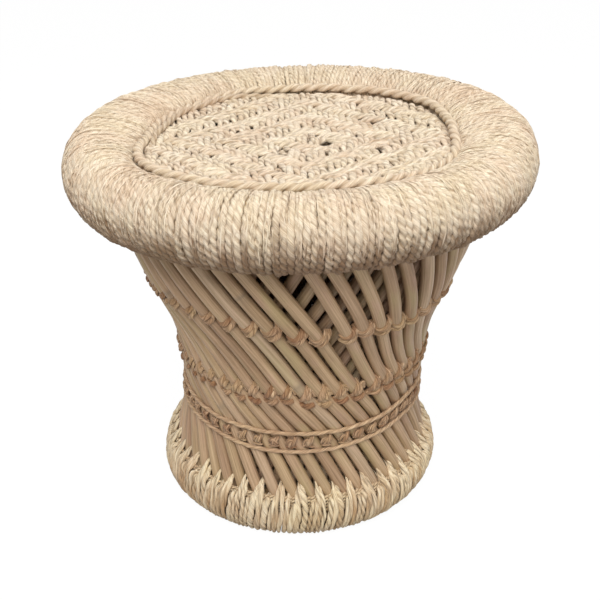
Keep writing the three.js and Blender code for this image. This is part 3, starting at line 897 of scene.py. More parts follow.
def make_bundle(name, node, size, settle, material, seed):
    """A grass bundle inside a ring, which closes it behind its turns."""
    random = np.random.default_rng(seed)
    ring_radius, middle, half_width, half_height = size
    shape = (BUNDLE_STATIONS, BUNDLE_SIDES)
    turn = np.linspace(0, TURN, BUNDLE_SIDES, endpoint=False)
    angle = np.linspace(0, 360, BUNDLE_STATIONS, endpoint=False)
    ripple = wander(random, BUNDLE_SIDES, BUNDLE_STATIONS, waves=20, reach=0.04)
    ripple = ripple * np.sin(np.linspace(0, math.pi, BUNDLE_STATIONS))
    reach = 1 + ripple.T - 0.03 * np.cos(turn * BUNDLE_SIDES / 2)
    radius = ring_radius + half_width * reach * np.cos(turn)
    height = middle + half_height * reach * np.sin(turn)
    points = settle(around(radius, angle[:, None], height))
    index = np.arange(BUNDLE_STATIONS * BUNDLE_SIDES).reshape(shape)
    following = np.roll(index, -1, axis=0)
    quads = np.stack([index, following, np.roll(following, -1, axis=1), np.roll(index, -1, axis=1)], axis=-1)
    length = np.radians(angle)[:, None] * ring_radius
    grain = np.broadcast_arrays(half_width * np.cos(turn), half_width * np.sin(turn), length)
    part = {
        "points": points.reshape(-1, 3),
        "quads": quads.reshape(-1, 4),
        "grain": np.stack(grain, axis=-1).reshape(-1, 3),
        "marks": {"groove": np.zeros(shape), "tone": np.full(shape, 0.4)},
    }
    add_piece(name, part, material, node)


# The base ring

BASE_CORD_REACH = 2.9
BASE_STATIONS = 84
BASE_GROUPS = 4
FOOT_SPREAD = 4.0
FOOT_SPREAD_HEIGHT = 32
TURNS_IN_GAP = (3, 4)
TIP_DROP = 5.0
SECOND_FALL = 2.5
OUTER_FALL = 10
TIP_SPREAD = 2.5
BASE_WIDTH_SHARES = (0.96, 1.16)
BASE_HEIGHT_SHARES = (0.8, 1.0)
BASE_TURN_LEAN = 1.4
TIGHT_SHARE = 0.5
TIGHT_LAYS = (19, 26)
LOOSE_LAYS = (36, 80)
GATHER_SHARE = 0.26
BASE_BUNDLE = (BASE_RADIUS - 1.5, BASE_MIDDLE - 0.5, 14.5, 19)
THREAD_HEIGHTS = np.array([32.8, 36.2, 39.6, 43.0, 46.2])
THREAD_STATIONS = 480
THREAD_REACH = 1.9
THREAD_STAND = 0.6
THREAD_LAY = 9


def base_outline(tip):
    """The middle line of a turn of the base's cord, from between two canes to inside the ring."""
    half = BASE_WIDTH / 2
    cord = BASE_CORD_REACH
    outside = BASE_RADIUS + half - cord
    inside = BASE_RADIUS - half + cord
    arc = []
    for degrees in (15, -5, -25, -45, -62):
        angle = math.radians(degrees)
        arc.append((
            BASE_RADIUS + (half - cord + 0.9) * math.cos(angle),
            BASE_MIDDLE + (BASE_MIDDLE - cord + 0.9) * math.sin(angle),
        ))
    return [
        (outer_face(tip + 5) - 10, tip + 6),
        (outer_face(tip) - 2.6, tip + 2),
        (outer_face(tip) + 2.2, tip - 5),
        (outside - 1.8, BASE_RING_HEIGHT - 9),
        *arc,
        (BASE_RADIUS + BASE_FLAT / 2, cord),
        (BASE_RADIUS - BASE_FLAT / 2, cord),
        (inside + 1.5, BASE_MIDDLE - 12),
        (inside - 0.6, BASE_MIDDLE + 4),
        (inside + 3.5, BASE_RING_HEIGHT - 3),
        (inside + 9, BASE_RING_HEIGHT + 1),
    ]


def base_settled(points):
    """The foot of the base ring has spread a little to the left."""
    points = points.copy()
    points[..., 0] -= FOOT_SPREAD * np.clip(1 - points[..., 2] / FOOT_SPREAD_HEIGHT, 0, 1)
    return points


def make_base_turns():
    random = np.random.default_rng(31)
    starts = np.array([outer_angle(cane, BASE_RING_HEIGHT) for cane in range(CANE_COUNT)])
    place = np.linspace(0, 1, BASE_STATIONS)
    gather = eased(np.clip(1 - place / GATHER_SHARE, 0, 1))
    leaf = np.clip(place / 0.11, 0.12, 1) ** 0.8
    belly = 1 + 0.18 * bell(place, 0.13, 0.05)
    paths = []
    outwards = []
    widths = []
    thicknesses = []
    for cane, start in enumerate(starts):
        gap = (starts[(cane + 1) % CANE_COUNT] - start) % 360
        count = TURNS_IN_GAP[cane % 2]
        highest = random.integers(1, count - 1) if count > 3 else 1
        second = highest + random.choice([-1, 1])
        falls = {highest: 0, second: SECOND_FALL}
        for turn in range(count):
            even = (turn + 0.5) / count
            fall = falls.get(turn, OUTER_FALL)
            tip = TUFT_HEIGHT - TIP_DROP - fall + random.uniform(-TIP_SPREAD, TIP_SPREAD)
            outline = evenly(rounded(base_outline(tip), 2), BASE_STATIONS)
            top = between(even, 0.52, 0.25 if turn not in falls else 0.6) + random.uniform(-0.05, 0.05)
            lean = float(outer_angle(cane, tip)) - start
            sway = wander(random, 1, BASE_STATIONS, waves=4, reach=0.07 * gap / count)[0]
            angle = start + gap * between(even, top, gather) + lean * gather + sway - BASE_TURN_LEAN * place
            from_middle = unit(outline - np.array([BASE_RADIUS, BASE_MIDDLE]))
            paths.append(around(outline[:, 0], angle, outline[:, 1]))
            outwards.append(around(from_middle[:, 0], angle, from_middle[:, 1]))
            pitch = math.radians(gap / count) * outline[:, 0]
            widths.append(pitch / 2 * random.uniform(*BASE_WIDTH_SHARES) * leaf * belly)
            thicknesses.append(BASE_CORD_REACH * random.uniform(*BASE_HEIGHT_SHARES) * leaf)
    paths = base_settled(np.array(paths))
    count = len(paths)
    each = (count, 1)
    tight = random.random(each) < TIGHT_SHARE
    lay = np.where(tight, random.uniform(*TIGHT_LAYS, each), random.uniform(*LOOSE_LAYS, each))
    depth = np.clip(0.8 + wander(random, count, BASE_STATIONS, waves=6, reach=0.25), 0.3, 1.15)
    phase = start_and_lay(random, paths, lay)
    # Tone is raised near the tufts' tips and lowered further round each turn.
    tone_by_place = 0.45 * bell(place, 0.08, 0.09) - 0.25 * np.clip((place - 0.15) / 0.15, 0, 1)
    lines = {
        "paths": paths,
        "outward": np.array(outwards),
        "half_width": np.array(widths),
        "half_height": np.array(thicknesses),
        "phase": phase,
        "tone": np.clip(random.normal(0.58, 0.24, each) + tone_by_place, 0, 1),
        "seed": np.arange(count) * 0.41,
        "depth": depth,
    }
    for number, chosen in enumerate(np.array_split(np.arange(count), BASE_GROUPS)):
        part = sweep_some(chosen, DEEP_TWO_PLY_SHARES, lines)
        add_piece(f"base_turns_{number + 1}", part, straw_rope, "base_winding")


def make_base_threads():
    """Threads laid round the canes' feet, which show below the cane ends between the tufts."""
    random = np.random.default_rng(32)
    count = len(THREAD_HEIGHTS)
    waves = wander(random, count, THREAD_STATIONS, waves=8, reach=0.4)
    waves = waves * np.sin(np.linspace(0, math.pi, THREAD_STATIONS))
    angle = ring_angles(THREAD_STATIONS)
    radii = outer_face(THREAD_HEIGHTS) + THREAD_STAND
    paths = around(radii[:, None], angle, THREAD_HEIGHTS[:, None] + waves)
    part = sweep(
        paths,
        around(1.0, angle, 0.0),
        THREAD_REACH,
        THREAD_REACH,
        SOFT_TWO_PLY_SHARES,
        closed=True,
        phase=closed_phase(paths, THREAD_LAY),
        tone=random.uniform(0, 0.6, count),
        seed=np.arange(count) * 1.3,
    )
    add_piece("base_laid_threads", part, straw_rope, "base_winding")


# The seat

SEAT_CORD = 6.0
SEAT_PAIR = SEAT_CORD * 2
SEAT_CORD_REACH = 3.15
SEAT_STATIONS = 190
SEAT_FLOAT = 2
SEAT_MIDDLE = (9.0, -4.0)
SEAT_SINK = 5.6
SEAT_SIDE_MARGIN = 5
SEAT_END_MARGIN = 1.5
SEAT_LAYS = (15, 24)
SEAT_WIDTH_SHARES = (0.9, 1.1)
SEAT_CORD_FLATNESS = 0.84
# How far from the seat's edge cords start to dip, over what length, and how far, front and back
EDGE_DIP_START = 15
EDGE_DIP_REACH = 10
EDGE_DIPS = (3.0, 7.0)
# How far dipped cords of a pair close up, and how long floats take to rise and cords to slant
DIP_SPREAD = 0.45
FLOAT_RISE_SHARE = 0.36
SLANT_RISE = 2.0
SLANT_CHANGE_REACH = 80
SEAT_WAVE = 2.4
SEAT_SLANT_LEFT = 2.3
SEAT_SLANT_RIGHT = 1.1
# Size, length across, length along and start of each wave in the weave's lines
SEAT_WANDER_ACROSS = ((1.5, 31, 47, 0.7), (1.0, -39, 17, 2.1), (0.45, 13, 8.5, 0.0))
SEAT_WANDER_ALONG = ((1.6, -43, 37, 1.3), (1.0, 19, 53, 0.4), (0.45, 9.5, -15, 1.9))
# Place of the large gaps in the weave, and how far each pushes cords aside, across and along
SEAT_GAPS = [
    (-16.7, -41.0, 6.0, 10.0),
    (24.7, -15.5, 6.5, 12.0),
    (74.0, -38.5, 4.6, 8.0),
    (-18.7, -91.9, 5.0, 7.0),
    (83.5, -68.9, 3.4, 5.0),
    (-87.4, 57.3, 3.4, 5.0),
    (-36.0, 32.0, 3.4, 4.0),
    (7.5, 116.7, 3.4, 4.0),
]
GAP_REACH_SHARE = 1.1
LEAST_GAP_REACH = 5.0
SMALL_SEAT_GAPS = 70
SMALL_GAP_WIDTHS = (1.2, 2.8)
SMALL_GAP_RANGE = 150
BLUR_REACH = 14
UNDER_LAYER_DROP = 16.0
UNDER_LAYER_PITCH = 5.2
UNDER_LAYER_REACHES = (3.0, 2.2)
UNDER_LAYER_STATIONS = 60
UNDER_LAYER_LAY = 20
EDGE_STATIONS = 640
EDGE_LAY = 29
EDGE_WAVES = (5, 8, 13, 21)
EDGE_SWING = 0.4
EDGE_LIFT = 0.3
EDGE_CORD_RISE = 1.8
EDGE_CORD_REACHES = np.array([[5.0], [3.6]])
# How far in and how far down the cord between seat and rim lies, and how far down the second one
EDGE_INSET = [(-180, 4.4), (-90, 5.2), (-50, 7.4), (30, 7.6), (90, 5.0), (180, 4.4)]
EDGE_SINK = [
    (-180, 0.5), (-150, 2), (-130, 5.5), (-90, 4.5), (-70, 1.5), (-55, 0), (25, 0), (40, 5), (60, 6),
    (75, 0.5), (180, 0.5),
]
SECOND_EDGE_SINK = [(-180, 6), (-165, 2.5), (-150, 0), (-95, 0), (-75, 4), (-60, 8), (180, 8)]
SECOND_EDGE_INSET = 9.0
SECOND_EDGE_DROP = 1.0


def seat_height(x, y):
    share = np.clip(np.hypot(x, y) / SEAT_RADIUS, 0, 1)
    return SEAT_TOP - SEAT_DISH * (1 - share**2) ** 1.2 - SEAT_SINK


def seat_over(first, second):
    """Whether the cords that run front to back pass over at a crossing of two pairs."""
    return (np.abs(first) + np.abs(second)) % (2 * SEAT_FLOAT) < SEAT_FLOAT


def seat_gaps():
    """Places of all gaps in the weave, and how far each pushes cords aside."""
    random = np.random.default_rng(44)
    gaps = list(SEAT_GAPS)
    for _ in range(SMALL_SEAT_GAPS):
        spot = around(SMALL_GAP_RANGE * math.sqrt(random.random()), random.uniform(0, 360), 0.0)
        size = random.uniform(*SMALL_GAP_WIDTHS)
        gaps.append((spot[0], spot[1], size, size))
    return gaps


def near_gap(apart, size):
    return bell(apart, 0, max(LEAST_GAP_REACH, GAP_REACH_SHARE * size))


def pushed(places, middle, size, near):
    """Places of a cord, pushed to the side of a gap on which most of it lies."""
    return places + math.copysign(size, np.sum((places - middle) * near)) * near


def seat_wander(waves, x, y):
    return sum(size * np.sin(x / across + y / along + start) for size, across, along, start in waves)


def float_shares(over):
    """For each station, the number of its float or dip and how far along that it lies."""
    number = np.concatenate([[0], np.cumsum(np.diff(over) != 0)])
    sizes = np.bincount(number)
    begins = np.cumsum(sizes) - sizes
    return number, (np.arange(len(over)) - begins[number] + 0.5) / sizes[number]


def blurred(values, reach):
    kernel = np.exp(-((np.arange(-BLUR_REACH, BLUR_REACH + 1) / reach) ** 2) / 2)
    return np.convolve(np.pad(values, BLUR_REACH, mode="edge"), kernel / kernel.sum(), mode="valid")


def make_seat_cords(front_to_back):
    random = np.random.default_rng(41 if front_to_back else 42)
    sign = 1 if front_to_back else -1
    middle, cross_middle = SEAT_MIDDLE[::sign]
    count = int(SEAT_RADIUS * 2 / SEAT_CORD)
    lines = (np.arange(count) - (count - 1) / 2) * SEAT_CORD
    lines = lines[np.abs(lines) < SEAT_RADIUS - SEAT_SIDE_MARGIN]
    gaps = seat_gaps()
    pair_shifts = random.normal(0, 0.16, count)
    pair_drifts = wander(random, count, SEAT_STATIONS, waves=7, reach=0.7)
    paths = []
    floats = []
    tones = []
    for line in lines:
        half = math.sqrt((SEAT_RADIUS - SEAT_END_MARGIN) ** 2 - line**2)
        run = np.linspace(-half, half, SEAT_STATIONS)
        spacing = run[1] - run[0]
        own_pair = math.floor((line - middle) / SEAT_PAIR + 0.5)
        crossing = (run - cross_middle) / SEAT_PAIR + 0.5 + pair_shifts[own_pair] + random.uniform(-0.1, 0.1)
        over = np.where(seat_over(own_pair, np.floor(crossing)), 1.0, -1.0) * sign
        wave = blurred(over, SEAT_PAIR * FLOAT_RISE_SHARE / spacing)
        number, share = float_shares(over)
        to_right = np.clip((line if front_to_back else run) / SLANT_CHANGE_REACH + 0.5, 0, 1)
        slant = between(SEAT_SLANT_LEFT, SEAT_SLANT_RIGHT, to_right) * (0.5 if front_to_back else 1)
        slant = blurred(slant * np.where(over > 0, 1 - 2 * share, 2 * share - 1), SLANT_RISE / spacing)
        side = 1 if (line - middle) / SEAT_PAIR + 0.5 - own_pair > 0.5 else -1
        spread = -DIP_SPREAD * side * (1 - wave)
        drift = wander(random, 1, SEAT_STATIONS, waves=12, reach=0.35)[0] + pair_drifts[own_pair]
        rise = wander(random, 1, SEAT_STATIONS, waves=8, reach=0.3)[0] + random.normal(0.1, 0.25)
        across = line + drift + spread + slant
        x, y = (across, run) if front_to_back else (run, across)
        x, y = x + seat_wander(SEAT_WANDER_ACROSS, x, y), y + seat_wander(SEAT_WANDER_ALONG, x, y)
        for gap_x, gap_y, size_x, size_y in gaps:
            near = near_gap(x - gap_x, size_x) * near_gap(y - gap_y, size_y)
            if front_to_back:
                x = pushed(x, gap_x, size_x, near)
            else:
                y = pushed(y, gap_y, size_y, near)
        degrees = np.degrees(np.arctan2(x, -y))
        edge = np.clip((np.hypot(x, y) - edge_radius(degrees) + EDGE_DIP_START) / EDGE_DIP_REACH, 0, 1)
        behind = 0.5 - 0.5 * np.cos(np.radians(degrees))
        sunk = between(*EDGE_DIPS, behind) * edge**2
        z = seat_height(x, y) + wave * SEAT_WAVE * (1 - 0.7 * edge) + rise - sunk
        paths.append(np.stack(np.broadcast_arrays(x, y, z), axis=-1))
        floats.append(wave)
        tones.append(random.normal(0.62, 0.12) + random.normal(0, 0.16, number[-1] + 1)[number])
    paths = leaned(np.array(paths))
    number = len(paths)
    each = (number, 1)
    phase = start_and_lay(random, paths, random.uniform(*SEAT_LAYS, each))
    phase = phase + wander(random, number, SEAT_STATIONS, waves=9, reach=0.7)
    thick = SEAT_CORD_REACH * random.uniform(*SEAT_WIDTH_SHARES, each) * (1 + 0.12 * np.array(floats))
    lines = {
        "paths": paths,
        "outward": np.broadcast_to(UPWARD, paths.shape),
        "half_width": thick,
        "half_height": thick * SEAT_CORD_FLATNESS,
        "phase": phase,
        "tone": np.clip(tones, 0, 1),
        "seed": np.arange(number) * 0.57 + (0 if front_to_back else 90),
        "depth": np.clip(0.85 + wander(random, number, SEAT_STATIONS, waves=9, reach=0.3), 0.2, 1.3),
    }
    name = "seat_cords_front_to_back" if front_to_back else "seat_cords_side_to_side"
    for half_name, chosen in zip(("first", "second"), np.array_split(np.arange(number), 2)):
        part = sweep_some(chosen, STRAW_PLY_SHARES, lines)
        add_piece(f"{name}_{half_name}", part, seat_rope, "woven_seat")


def make_seat_under_layer():
    """Cords strung below the weave, which close its gaps; their dark colour is painted shade."""
    random = np.random.default_rng(45)
    lines = np.arange(-SEAT_RADIUS + 8, SEAT_RADIUS - 8, UNDER_LAYER_PITCH)
    count = len(lines)
    half = np.sqrt((SEAT_RADIUS - 4) ** 2 - lines**2)[:, None]
    run = half * np.linspace(-1, 1, UNDER_LAYER_STATIONS)
    across = lines[:, None] + wander(random, count, UNDER_LAYER_STATIONS, waves=6, reach=0.8)
    x = (run + across) * math.sqrt(0.5)
    y = (run - across) * math.sqrt(0.5)
    paths = leaned(np.stack([x, y, seat_height(x, y) - UNDER_LAYER_DROP], axis=-1))
    phase = lengths_along(paths) / UNDER_LAYER_LAY * TURN
    # Low tone here adds to the painted shade under the weave.
    tone = np.clip(random.normal(0.3, 0.15, count), 0, 1)
    seed = np.arange(count) * 0.71
    part = sweep(paths, UPWARD, *UNDER_LAYER_REACHES, STRAW_PLY_SHARES, phase=phase, tone=tone, seed=seed)
    add_piece("seat_under_layer", part, grass_bundle, "woven_seat")


def make_seat_edge():
    """Cords that lie between the seat and the rim, which sink away in places."""
    random = np.random.default_rng(43)
    angle = ring_angles(EDGE_STATIONS)
    inset = by_angle(EDGE_INSET, angle)
    paths = []
    for inward, height, sink in (
        (inset, SEAT_TOP + EDGE_CORD_RISE, EDGE_SINK),
        (inset + SECOND_EDGE_INSET, SEAT_TOP - SECOND_EDGE_DROP, SECOND_EDGE_SINK),
    ):
        swing = np.zeros(EDGE_STATIONS)
        lift = np.zeros(EDGE_STATIONS)
        for wave in EDGE_WAVES:
            swing += ring_wave(random, angle, wave, EDGE_SWING)
            lift += ring_wave(random, angle, wave, EDGE_LIFT)
        radius = edge_radius(angle) - inward + swing
        paths.append(leaned(around(radius, angle, height + lift - by_angle(sink, angle))))
    paths = smoothed_ring(np.array(paths), 20)
    part = sweep(
        paths,
        UPWARD,
        EDGE_CORD_REACHES,
        EDGE_CORD_REACHES,
        DEEP_TWO_PLY_SHARES,
        closed=True,
        phase=closed_phase(paths, EDGE_LAY),
        tone=np.array([0.45, 0.3]),
        seed=np.array([1.0, 5.0]),
    )
    add_piece("seat_edge_cords", part, pale_rope, "seat_edge_cord")


# The belt

BELT_TOP_RISE = [
    (-180, 0), (-95, 0), (-70, -1), (-46, -4.2), (-30, -4.8), (0, -4.2), (20, -4.2), (38, -1.8), (58, 5),
    (70, 4), (90, 2), (180, 0),
]
BELT_BOTTOM_RISE = [
    (-180, 0), (-75, 5), (-50, 4.5), (-25, 0), (0, 0), (15, 1.5), (38, 5), (55, 8), (90, 4), (180, 0),
]
BELT_STATIONS = 520
BELT_WAVES = (7, 12, 19, 31)
BELT_WAVE_REACH = 0.3
BELT_CORD_WIDTH = 2.2
BELT_CORD_THICKNESS = 2.1
BELT_CORD_LAY = 28
BELT_CORD_STAND = 0.9
BELT_CORD_RIDE = 0.8
CANE_TOP_REACH = 3.7
# Across, up and out from the canes' face at a knot's middle
KNOT_STRANDS = [
    [
        (-5.8, -5.5, -1.0), (-4.6, 0.0, 1.8), (-1.8, 5.2, 2.8), (1.2, 3.4, 3.0), (2.6, -2.5, 2.2),
        (2.2, -7.0, -1.0),
    ],
    [(-3.0, -7.0, -0.5), (-0.8, -2.0, 2.4), (1.6, 3.0, 3.4), (3.8, 6.2, 2.4), (5.0, 8.0, -1.5)],
    [(-7.0, -6.4, 0.0), (-2.5, -5.6, 1.4), (2.5, -6.0, 1.6), (7.0, -6.8, 0.0)],
]
KNOT_WIDTHS = np.array([2.4, 2.6, 1.3])
FRONT_KNOT_ANGLES = [-36, -27.5, -19, -11.5, -3.5, 4, 11.8, 19.8, 27, 34.2]
KNOT_COUNT = 49
KNOT_STATIONS = 20
KNOT_DROP = 0.6
KNOT_LAY = 26
KNOT_NUDGE = 0.4
KNOT_HEIGHT_SHARE = 0.8


def belt_height(degrees, top):
    """How high the belt's cords lie, which rise and fall round the stool."""
    rise = by_angle(BELT_TOP_RISE if top else BELT_BOTTOM_RISE, degrees)
    return BELT_HEIGHT + (0.5 if top else -0.5) * BELT_SPAN + rise


def make_belt_cords():
    random = np.random.default_rng(51)
    angle = ring_angles(BELT_STATIONS)
    outward = around(1.0, angle, 0.0)
    for node, top in (("belt_top_cord", True), ("belt_bottom_cord", False)):
        height = belt_height(angle, top)
        for wave in BELT_WAVES:
            height = height + ring_wave(random, angle, wave, BELT_WAVE_REACH)
        on_cane = np.zeros(BELT_STATIONS)
        for cane in range(CANE_COUNT):
            apart = signed(angle - outer_angle(cane, height))
            on_cane = np.maximum(on_cane, np.cos(np.clip(apart / CANE_TOP_REACH, -1, 1) * math.pi / 2))
        radius = outer_face(height) + BELT_CORD_STAND + BELT_CORD_RIDE * on_cane
        paths = smoothed_ring(around(radius, angle, height)[None], 4)
        part = sweep(
            paths,
            outward,
            BELT_CORD_WIDTH,
            BELT_CORD_THICKNESS,
            SLIGHT_TWO_PLY_SHARES,
            closed=True,
            phase=closed_phase(paths, BELT_CORD_LAY),
            tone=0.6,
            seed=3.0 + top,
        )
        add_piece(f"{node}_twisted", part, belt_rope, node)


def smooth_strand(strand, stations):
    """A strand's corner places made into a smooth run of stations, as three columns."""
    kernel = np.array([1, 2, 3, 2, 1]) / 9
    smooth = []
    for values in evenly(strand, stations).T:
        for _ in range(2):
            values = np.convolve(np.pad(values, 2, mode="edge"), kernel, mode="valid")
        smooth.append(values)
    return smooth


def make_belt_knots():
    random = np.random.default_rng(52)
    count = len(KNOT_STRANDS)
    belly = 0.5 + 0.5 * np.sin(np.linspace(0, 1, KNOT_STATIONS) * math.pi) ** 0.7
    parts = []
    for knot, degrees in enumerate(around_circle(FRONT_KNOT_ANGLES, KNOT_COUNT)):
        angle = degrees + random.uniform(-0.4, 0.4)
        room = belt_height(angle, True) - belt_height(angle, False)
        middle = (belt_height(angle, True) + belt_height(angle, False)) / 2 - KNOT_DROP
        scale = np.array([random.uniform(0.78, 0.92), random.uniform(0.88, 1.05) * room / BELT_SPAN, 1])
        paths = []
        for strand in KNOT_STRANDS:
            nudged = np.array(strand) * scale + random.normal(0, KNOT_NUDGE, (len(strand), 3))
            across, up, out = smooth_strand(nudged, KNOT_STATIONS)
            radius = outer_face(middle + up) + out
            paths.append(around(radius, angle + np.degrees(across / radius), middle + up))
        paths = np.array(paths)
        width = KNOT_WIDTHS[:, None] * belly * random.uniform(0.9, 1.1, (count, 1))
        phase = start_and_lay(random, paths, KNOT_LAY)
        parts.append(sweep(
            paths,
            around(1.0, angle, 0.0),
            width,
            width * KNOT_HEIGHT_SHARE,
            FINE_THREE_PLY_SHARES,
            phase=phase,
            tone=np.clip(random.normal(0.6, 0.28, count), 0, 1),
            seed=knot * 0.9 + np.arange(count),
        ))
    add_piece("belt_knots", join_parts(parts), tie_fibre, "belt_knot_chain")


# The lashings

# Across and up from where a row crosses a cane, and out from the cane's round face
UPPER_STRANDS = [
    [
        (-8.0, 3.5, -2.0), (-5.0, -1.2, 0.1), (-0.5, -2.4, 0.4), (4.2, 0.2, 0.5), (6.8, 5.0, 0.3),
        (7.0, 8.5, -6.0),
    ],
    [
        (-8.0, -3.5, -1.0), (-2.5, -7.4, 0.1), (3.0, -7.2, 0.4), (7.2, -2.6, 1.0), (9.6, 3.8, 0.7),
        (9.0, 7.8, -6.0),
    ],
]
MIDDLE_STRANDS = [
    [(-6.0, -9.5, -1.0), (-3.4, -5.0, 0.2), (-0.4, 1.5, 0.5), (2.6, 7.6, 0.4), (3.6, 10.6, -6.0)],
    [(2.6, -3.0, 0.2), (4.8, 4.0, 1.1), (7.0, 8.6, 1.6), (9.2, 6.0, 1.2), (9.0, -1.5, 0.2)],
    [(-9.5, -6.5, 0.1), (-4.6, -9.4, 0.6), (0.5, -10.4, 0.8), (5.0, -8.8, 0.6), (9.5, -6.2, 0.1)],
]
# Angle and height of the ties. The upper ones follow the photograph at the front.
UPPER_ROW = [
    (-180, 237), (-120, 243), (-75, 247), (-45, 245), (-21, 244), (-11, 240), (-2, 235.5), (6, 232.5),
    (16, 234), (22, 237), (29, 236), (37, 233), (44, 234), (51, 239), (80, 239), (180, 237),
]
MIDDLE_ROW = [(-180, MIDDLE_TIE_HEIGHT), (180, MIDDLE_TIE_HEIGHT)]
STRAND_REACH = 2.85
STRAND_HEIGHT_SHARE = 0.55
STRAND_STATIONS = 24
STRAND_LAY = 30
STRAND_DEPTH = 0.65
STRAND_NUDGES = [0.6, 0.6, 0.15]
ROW_SPREAD = 1.3
RIDGE_STAND = 0.7
LEAST_RIDGE = 2.2


def make_lashings(name, node, row_heights, strands, tones, seed):
    """Strands of fibre that loop over each outer cane."""
    random = np.random.default_rng(seed)
    count = len(strands)
    thick = CANE_RADIUS + RIDGE_STAND
    belly = 0.7 + 0.3 * np.sin(np.linspace(0, 1, STRAND_STATIONS) * math.pi) ** 0.6
    parts = []
    for cane in range(CANE_COUNT):
        row = float(by_angle(row_heights, tie_angles[cane])) + random.uniform(-ROW_SPREAD, ROW_SPREAD)
        middle = float(outer_angle(cane, row))
        step = float(outer_angle(cane, row + 1)) - float(outer_angle(cane, row - 1))
        lean = math.radians(step / 2) * float(axis_radius(row))
        scale = np.array([random.uniform(0.9, 1.1), random.uniform(0.85, 1.12), 1])
        paths = []
        for strand in strands:
            nudged = np.array(strand) * scale + random.normal(0, 1, (len(strand), 3)) * STRAND_NUDGES
            across, up, out = smooth_strand(nudged, STRAND_STATIONS)
            from_axis = (across - up * lean) / math.hypot(1, lean)
            ridge = np.sqrt(np.clip(thick**2 - from_axis**2, 0, None))
            radius = axis_radius(row + up) + np.maximum(ridge, LEAST_RIDGE) + out
            paths.append(around(radius, middle + np.degrees(across / radius), row + up))
        paths = np.array(paths)
        width = STRAND_REACH * random.uniform(0.85, 1.3, (count, 1)) * belly
        phase = start_and_lay(random, paths, STRAND_LAY)
        parts.append(sweep(
            paths,
            around(1.0, middle, 0.0),
            width,
            width * STRAND_HEIGHT_SHARE,
            FINE_THREE_PLY_SHARES,
            phase=phase,
            tone=np.clip(np.array(tones) + random.normal(0, 0.2, count), 0, 1),
            seed=cane * 0.83 + np.arange(count),
            depth=STRAND_DEPTH,
        ))
    add_piece(name, join_parts(parts), tie_fibre, node)


make_outer_canes()
make_inner_canes()
make_rim_turns()
make_bundle("rim_bundle", "rim_core", RIM_BUNDLE, settled, straw_rope, 34)
make_base_turns()
make_base_threads()
make_bundle("base_bundle", None, BASE_BUNDLE, base_settled, grass_bundle, 33)
make_seat_cords(front_to_back=True)
make_seat_cords(front_to_back=False)
make_seat_under_layer()
make_seat_edge()
make_belt_cords()
make_belt_knots()
make_lashings("upper_lashings", "upper_tie_cord", UPPER_ROW, UPPER_STRANDS, (0.35, 0.65), 61)
make_lashings("middle_lashings", "middle_tie_cord", MIDDLE_ROW, MIDDLE_STRANDS, (0.35, 0.8, 0.1), 62)


# Floor, light and camera

FLOOR_REACH = 6.0
FLOOR_SHARE = 0.48
FLOOR_WHITE_SHARE = 0.85
FLOOR_WHITE = 1.12
# Where the floor turns white, in metres from the middle
FLOOR_WHITE_START = 0.115
FLOOR_WHITE_END = 0.125
WORLD_COLOUR = (1.0, 0.995, 0.985, 1)
WORLD_STRENGTH = 0.5
LAMP_COLOUR = (1.0, 0.99, 0.975)
LAMP_AIM = (0.0, 0.0, 0.25)


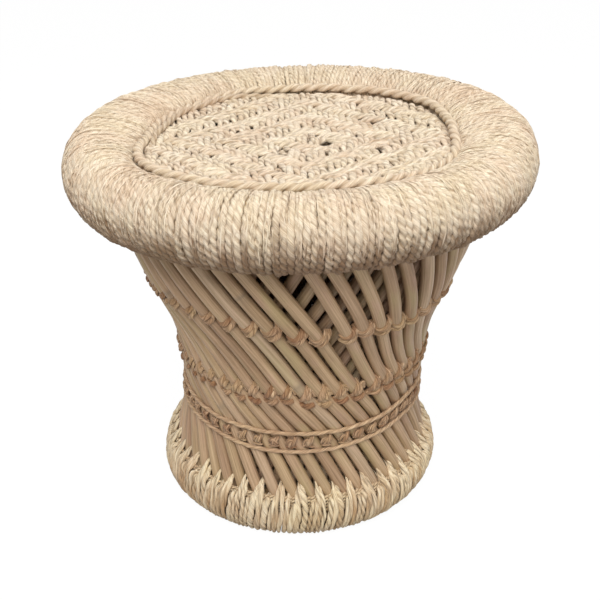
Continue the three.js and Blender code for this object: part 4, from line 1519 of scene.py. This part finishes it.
def make_floor():
    """A white floor that shows the stool's shadow only faintly, as in the photograph."""
    mesh = bpy.data.meshes.new("floor")
    corners = [(-1, -1), (1, -1), (1, 1), (-1, 1)]
    mesh.from_pydata([(x * FLOOR_REACH, y * FLOOR_REACH, 0.0) for x, y in corners], [], [(0, 1, 2, 3)])
    floor = bpy.data.objects.new("floor", mesh)
    bpy.context.scene.collection.objects.link(floor)
    surface = Surface("floor")
    grey = (FLOOR_SHARE, FLOOR_SHARE, FLOOR_SHARE, 1)
    surface.put(surface.shader, {"Base Color": grey, "Roughness": 0.9, "Specular IOR Level": 0.0})
    white = surface.node("ShaderNodeEmission", {"Strength": FLOOR_WHITE}).outputs["Emission"]
    length = surface.node("ShaderNodeVectorMath", {0: surface.space()}, operation="LENGTH").outputs["Value"]
    outside = surface.spread(length, FLOOR_WHITE_START, FLOOR_WHITE_END, to_high=FLOOR_WHITE_SHARE)
    factor = surface.times(surface.in_view(), outside)
    surface.mix_shaders(factor, surface.shader.outputs["BSDF"], white, "Material Output")
    mesh.materials.append(surface.material)


def make_world():
    """Soft light from all round, and a plain white background for the camera."""
    world = bpy.data.worlds.new("studio")
    bpy.context.scene.world = world
    world.use_nodes = True
    sky = Nodes(world.node_tree)
    light = sky.tree.nodes["Background"]
    sky.put(light, {"Color": WORLD_COLOUR, "Strength": WORLD_STRENGTH})
    white = sky.node("ShaderNodeBackground", {"Color": (1, 1, 1, 1), "Strength": 1.0})
    sky.mix_shaders(sky.in_view(), light.outputs["Background"], white.outputs["Background"], "World Output")


def make_lamp(name, place, size, power):
    light = bpy.data.lights.new(name, "AREA")
    light.size = size
    light.energy = power
    light.color = LAMP_COLOUR
    lamp = bpy.data.objects.new(name, light)
    bpy.context.scene.collection.objects.link(lamp)
    direction = np.array(LAMP_AIM) - np.array(place)
    yaw = math.atan2(direction[0], -direction[1])
    pitch = math.atan2(math.hypot(direction[0], direction[1]), -direction[2])
    lamp.location = place
    lamp.rotation_euler = (pitch, 0, math.pi + yaw)


def make_camera():
    camera = bpy.data.cameras.new("camera")
    camera.lens = CAMERA_LENS
    camera.sensor_width = CAMERA_SENSOR
    stand = bpy.data.objects.new("camera", camera)
    bpy.context.scene.collection.objects.link(stand)
    tilt = math.radians(CAMERA_TILT)
    back = math.cos(tilt) * CAMERA_DISTANCE
    height = CAMERA_AIM_HEIGHT + math.sin(tilt) * CAMERA_DISTANCE
    stand.location = (0, -back * MM, height * MM)
    stand.rotation_euler = (math.radians(90 - CAMERA_TILT), 0, 0)
    bpy.context.scene.camera = stand


make_floor()
make_world()
make_lamp("key_lamp", place=(-0.22, -1.5, 1.9), size=1.1, power=33)
make_lamp("top_lamp", place=(0.4, 0.2, 2.1), size=1.6, power=12)
make_lamp("side_lamp", place=(1.5, -1.2, 1.1), size=1.4, power=5)
make_camera()
bpy.context.scene.view_settings.view_transform = "Standard"
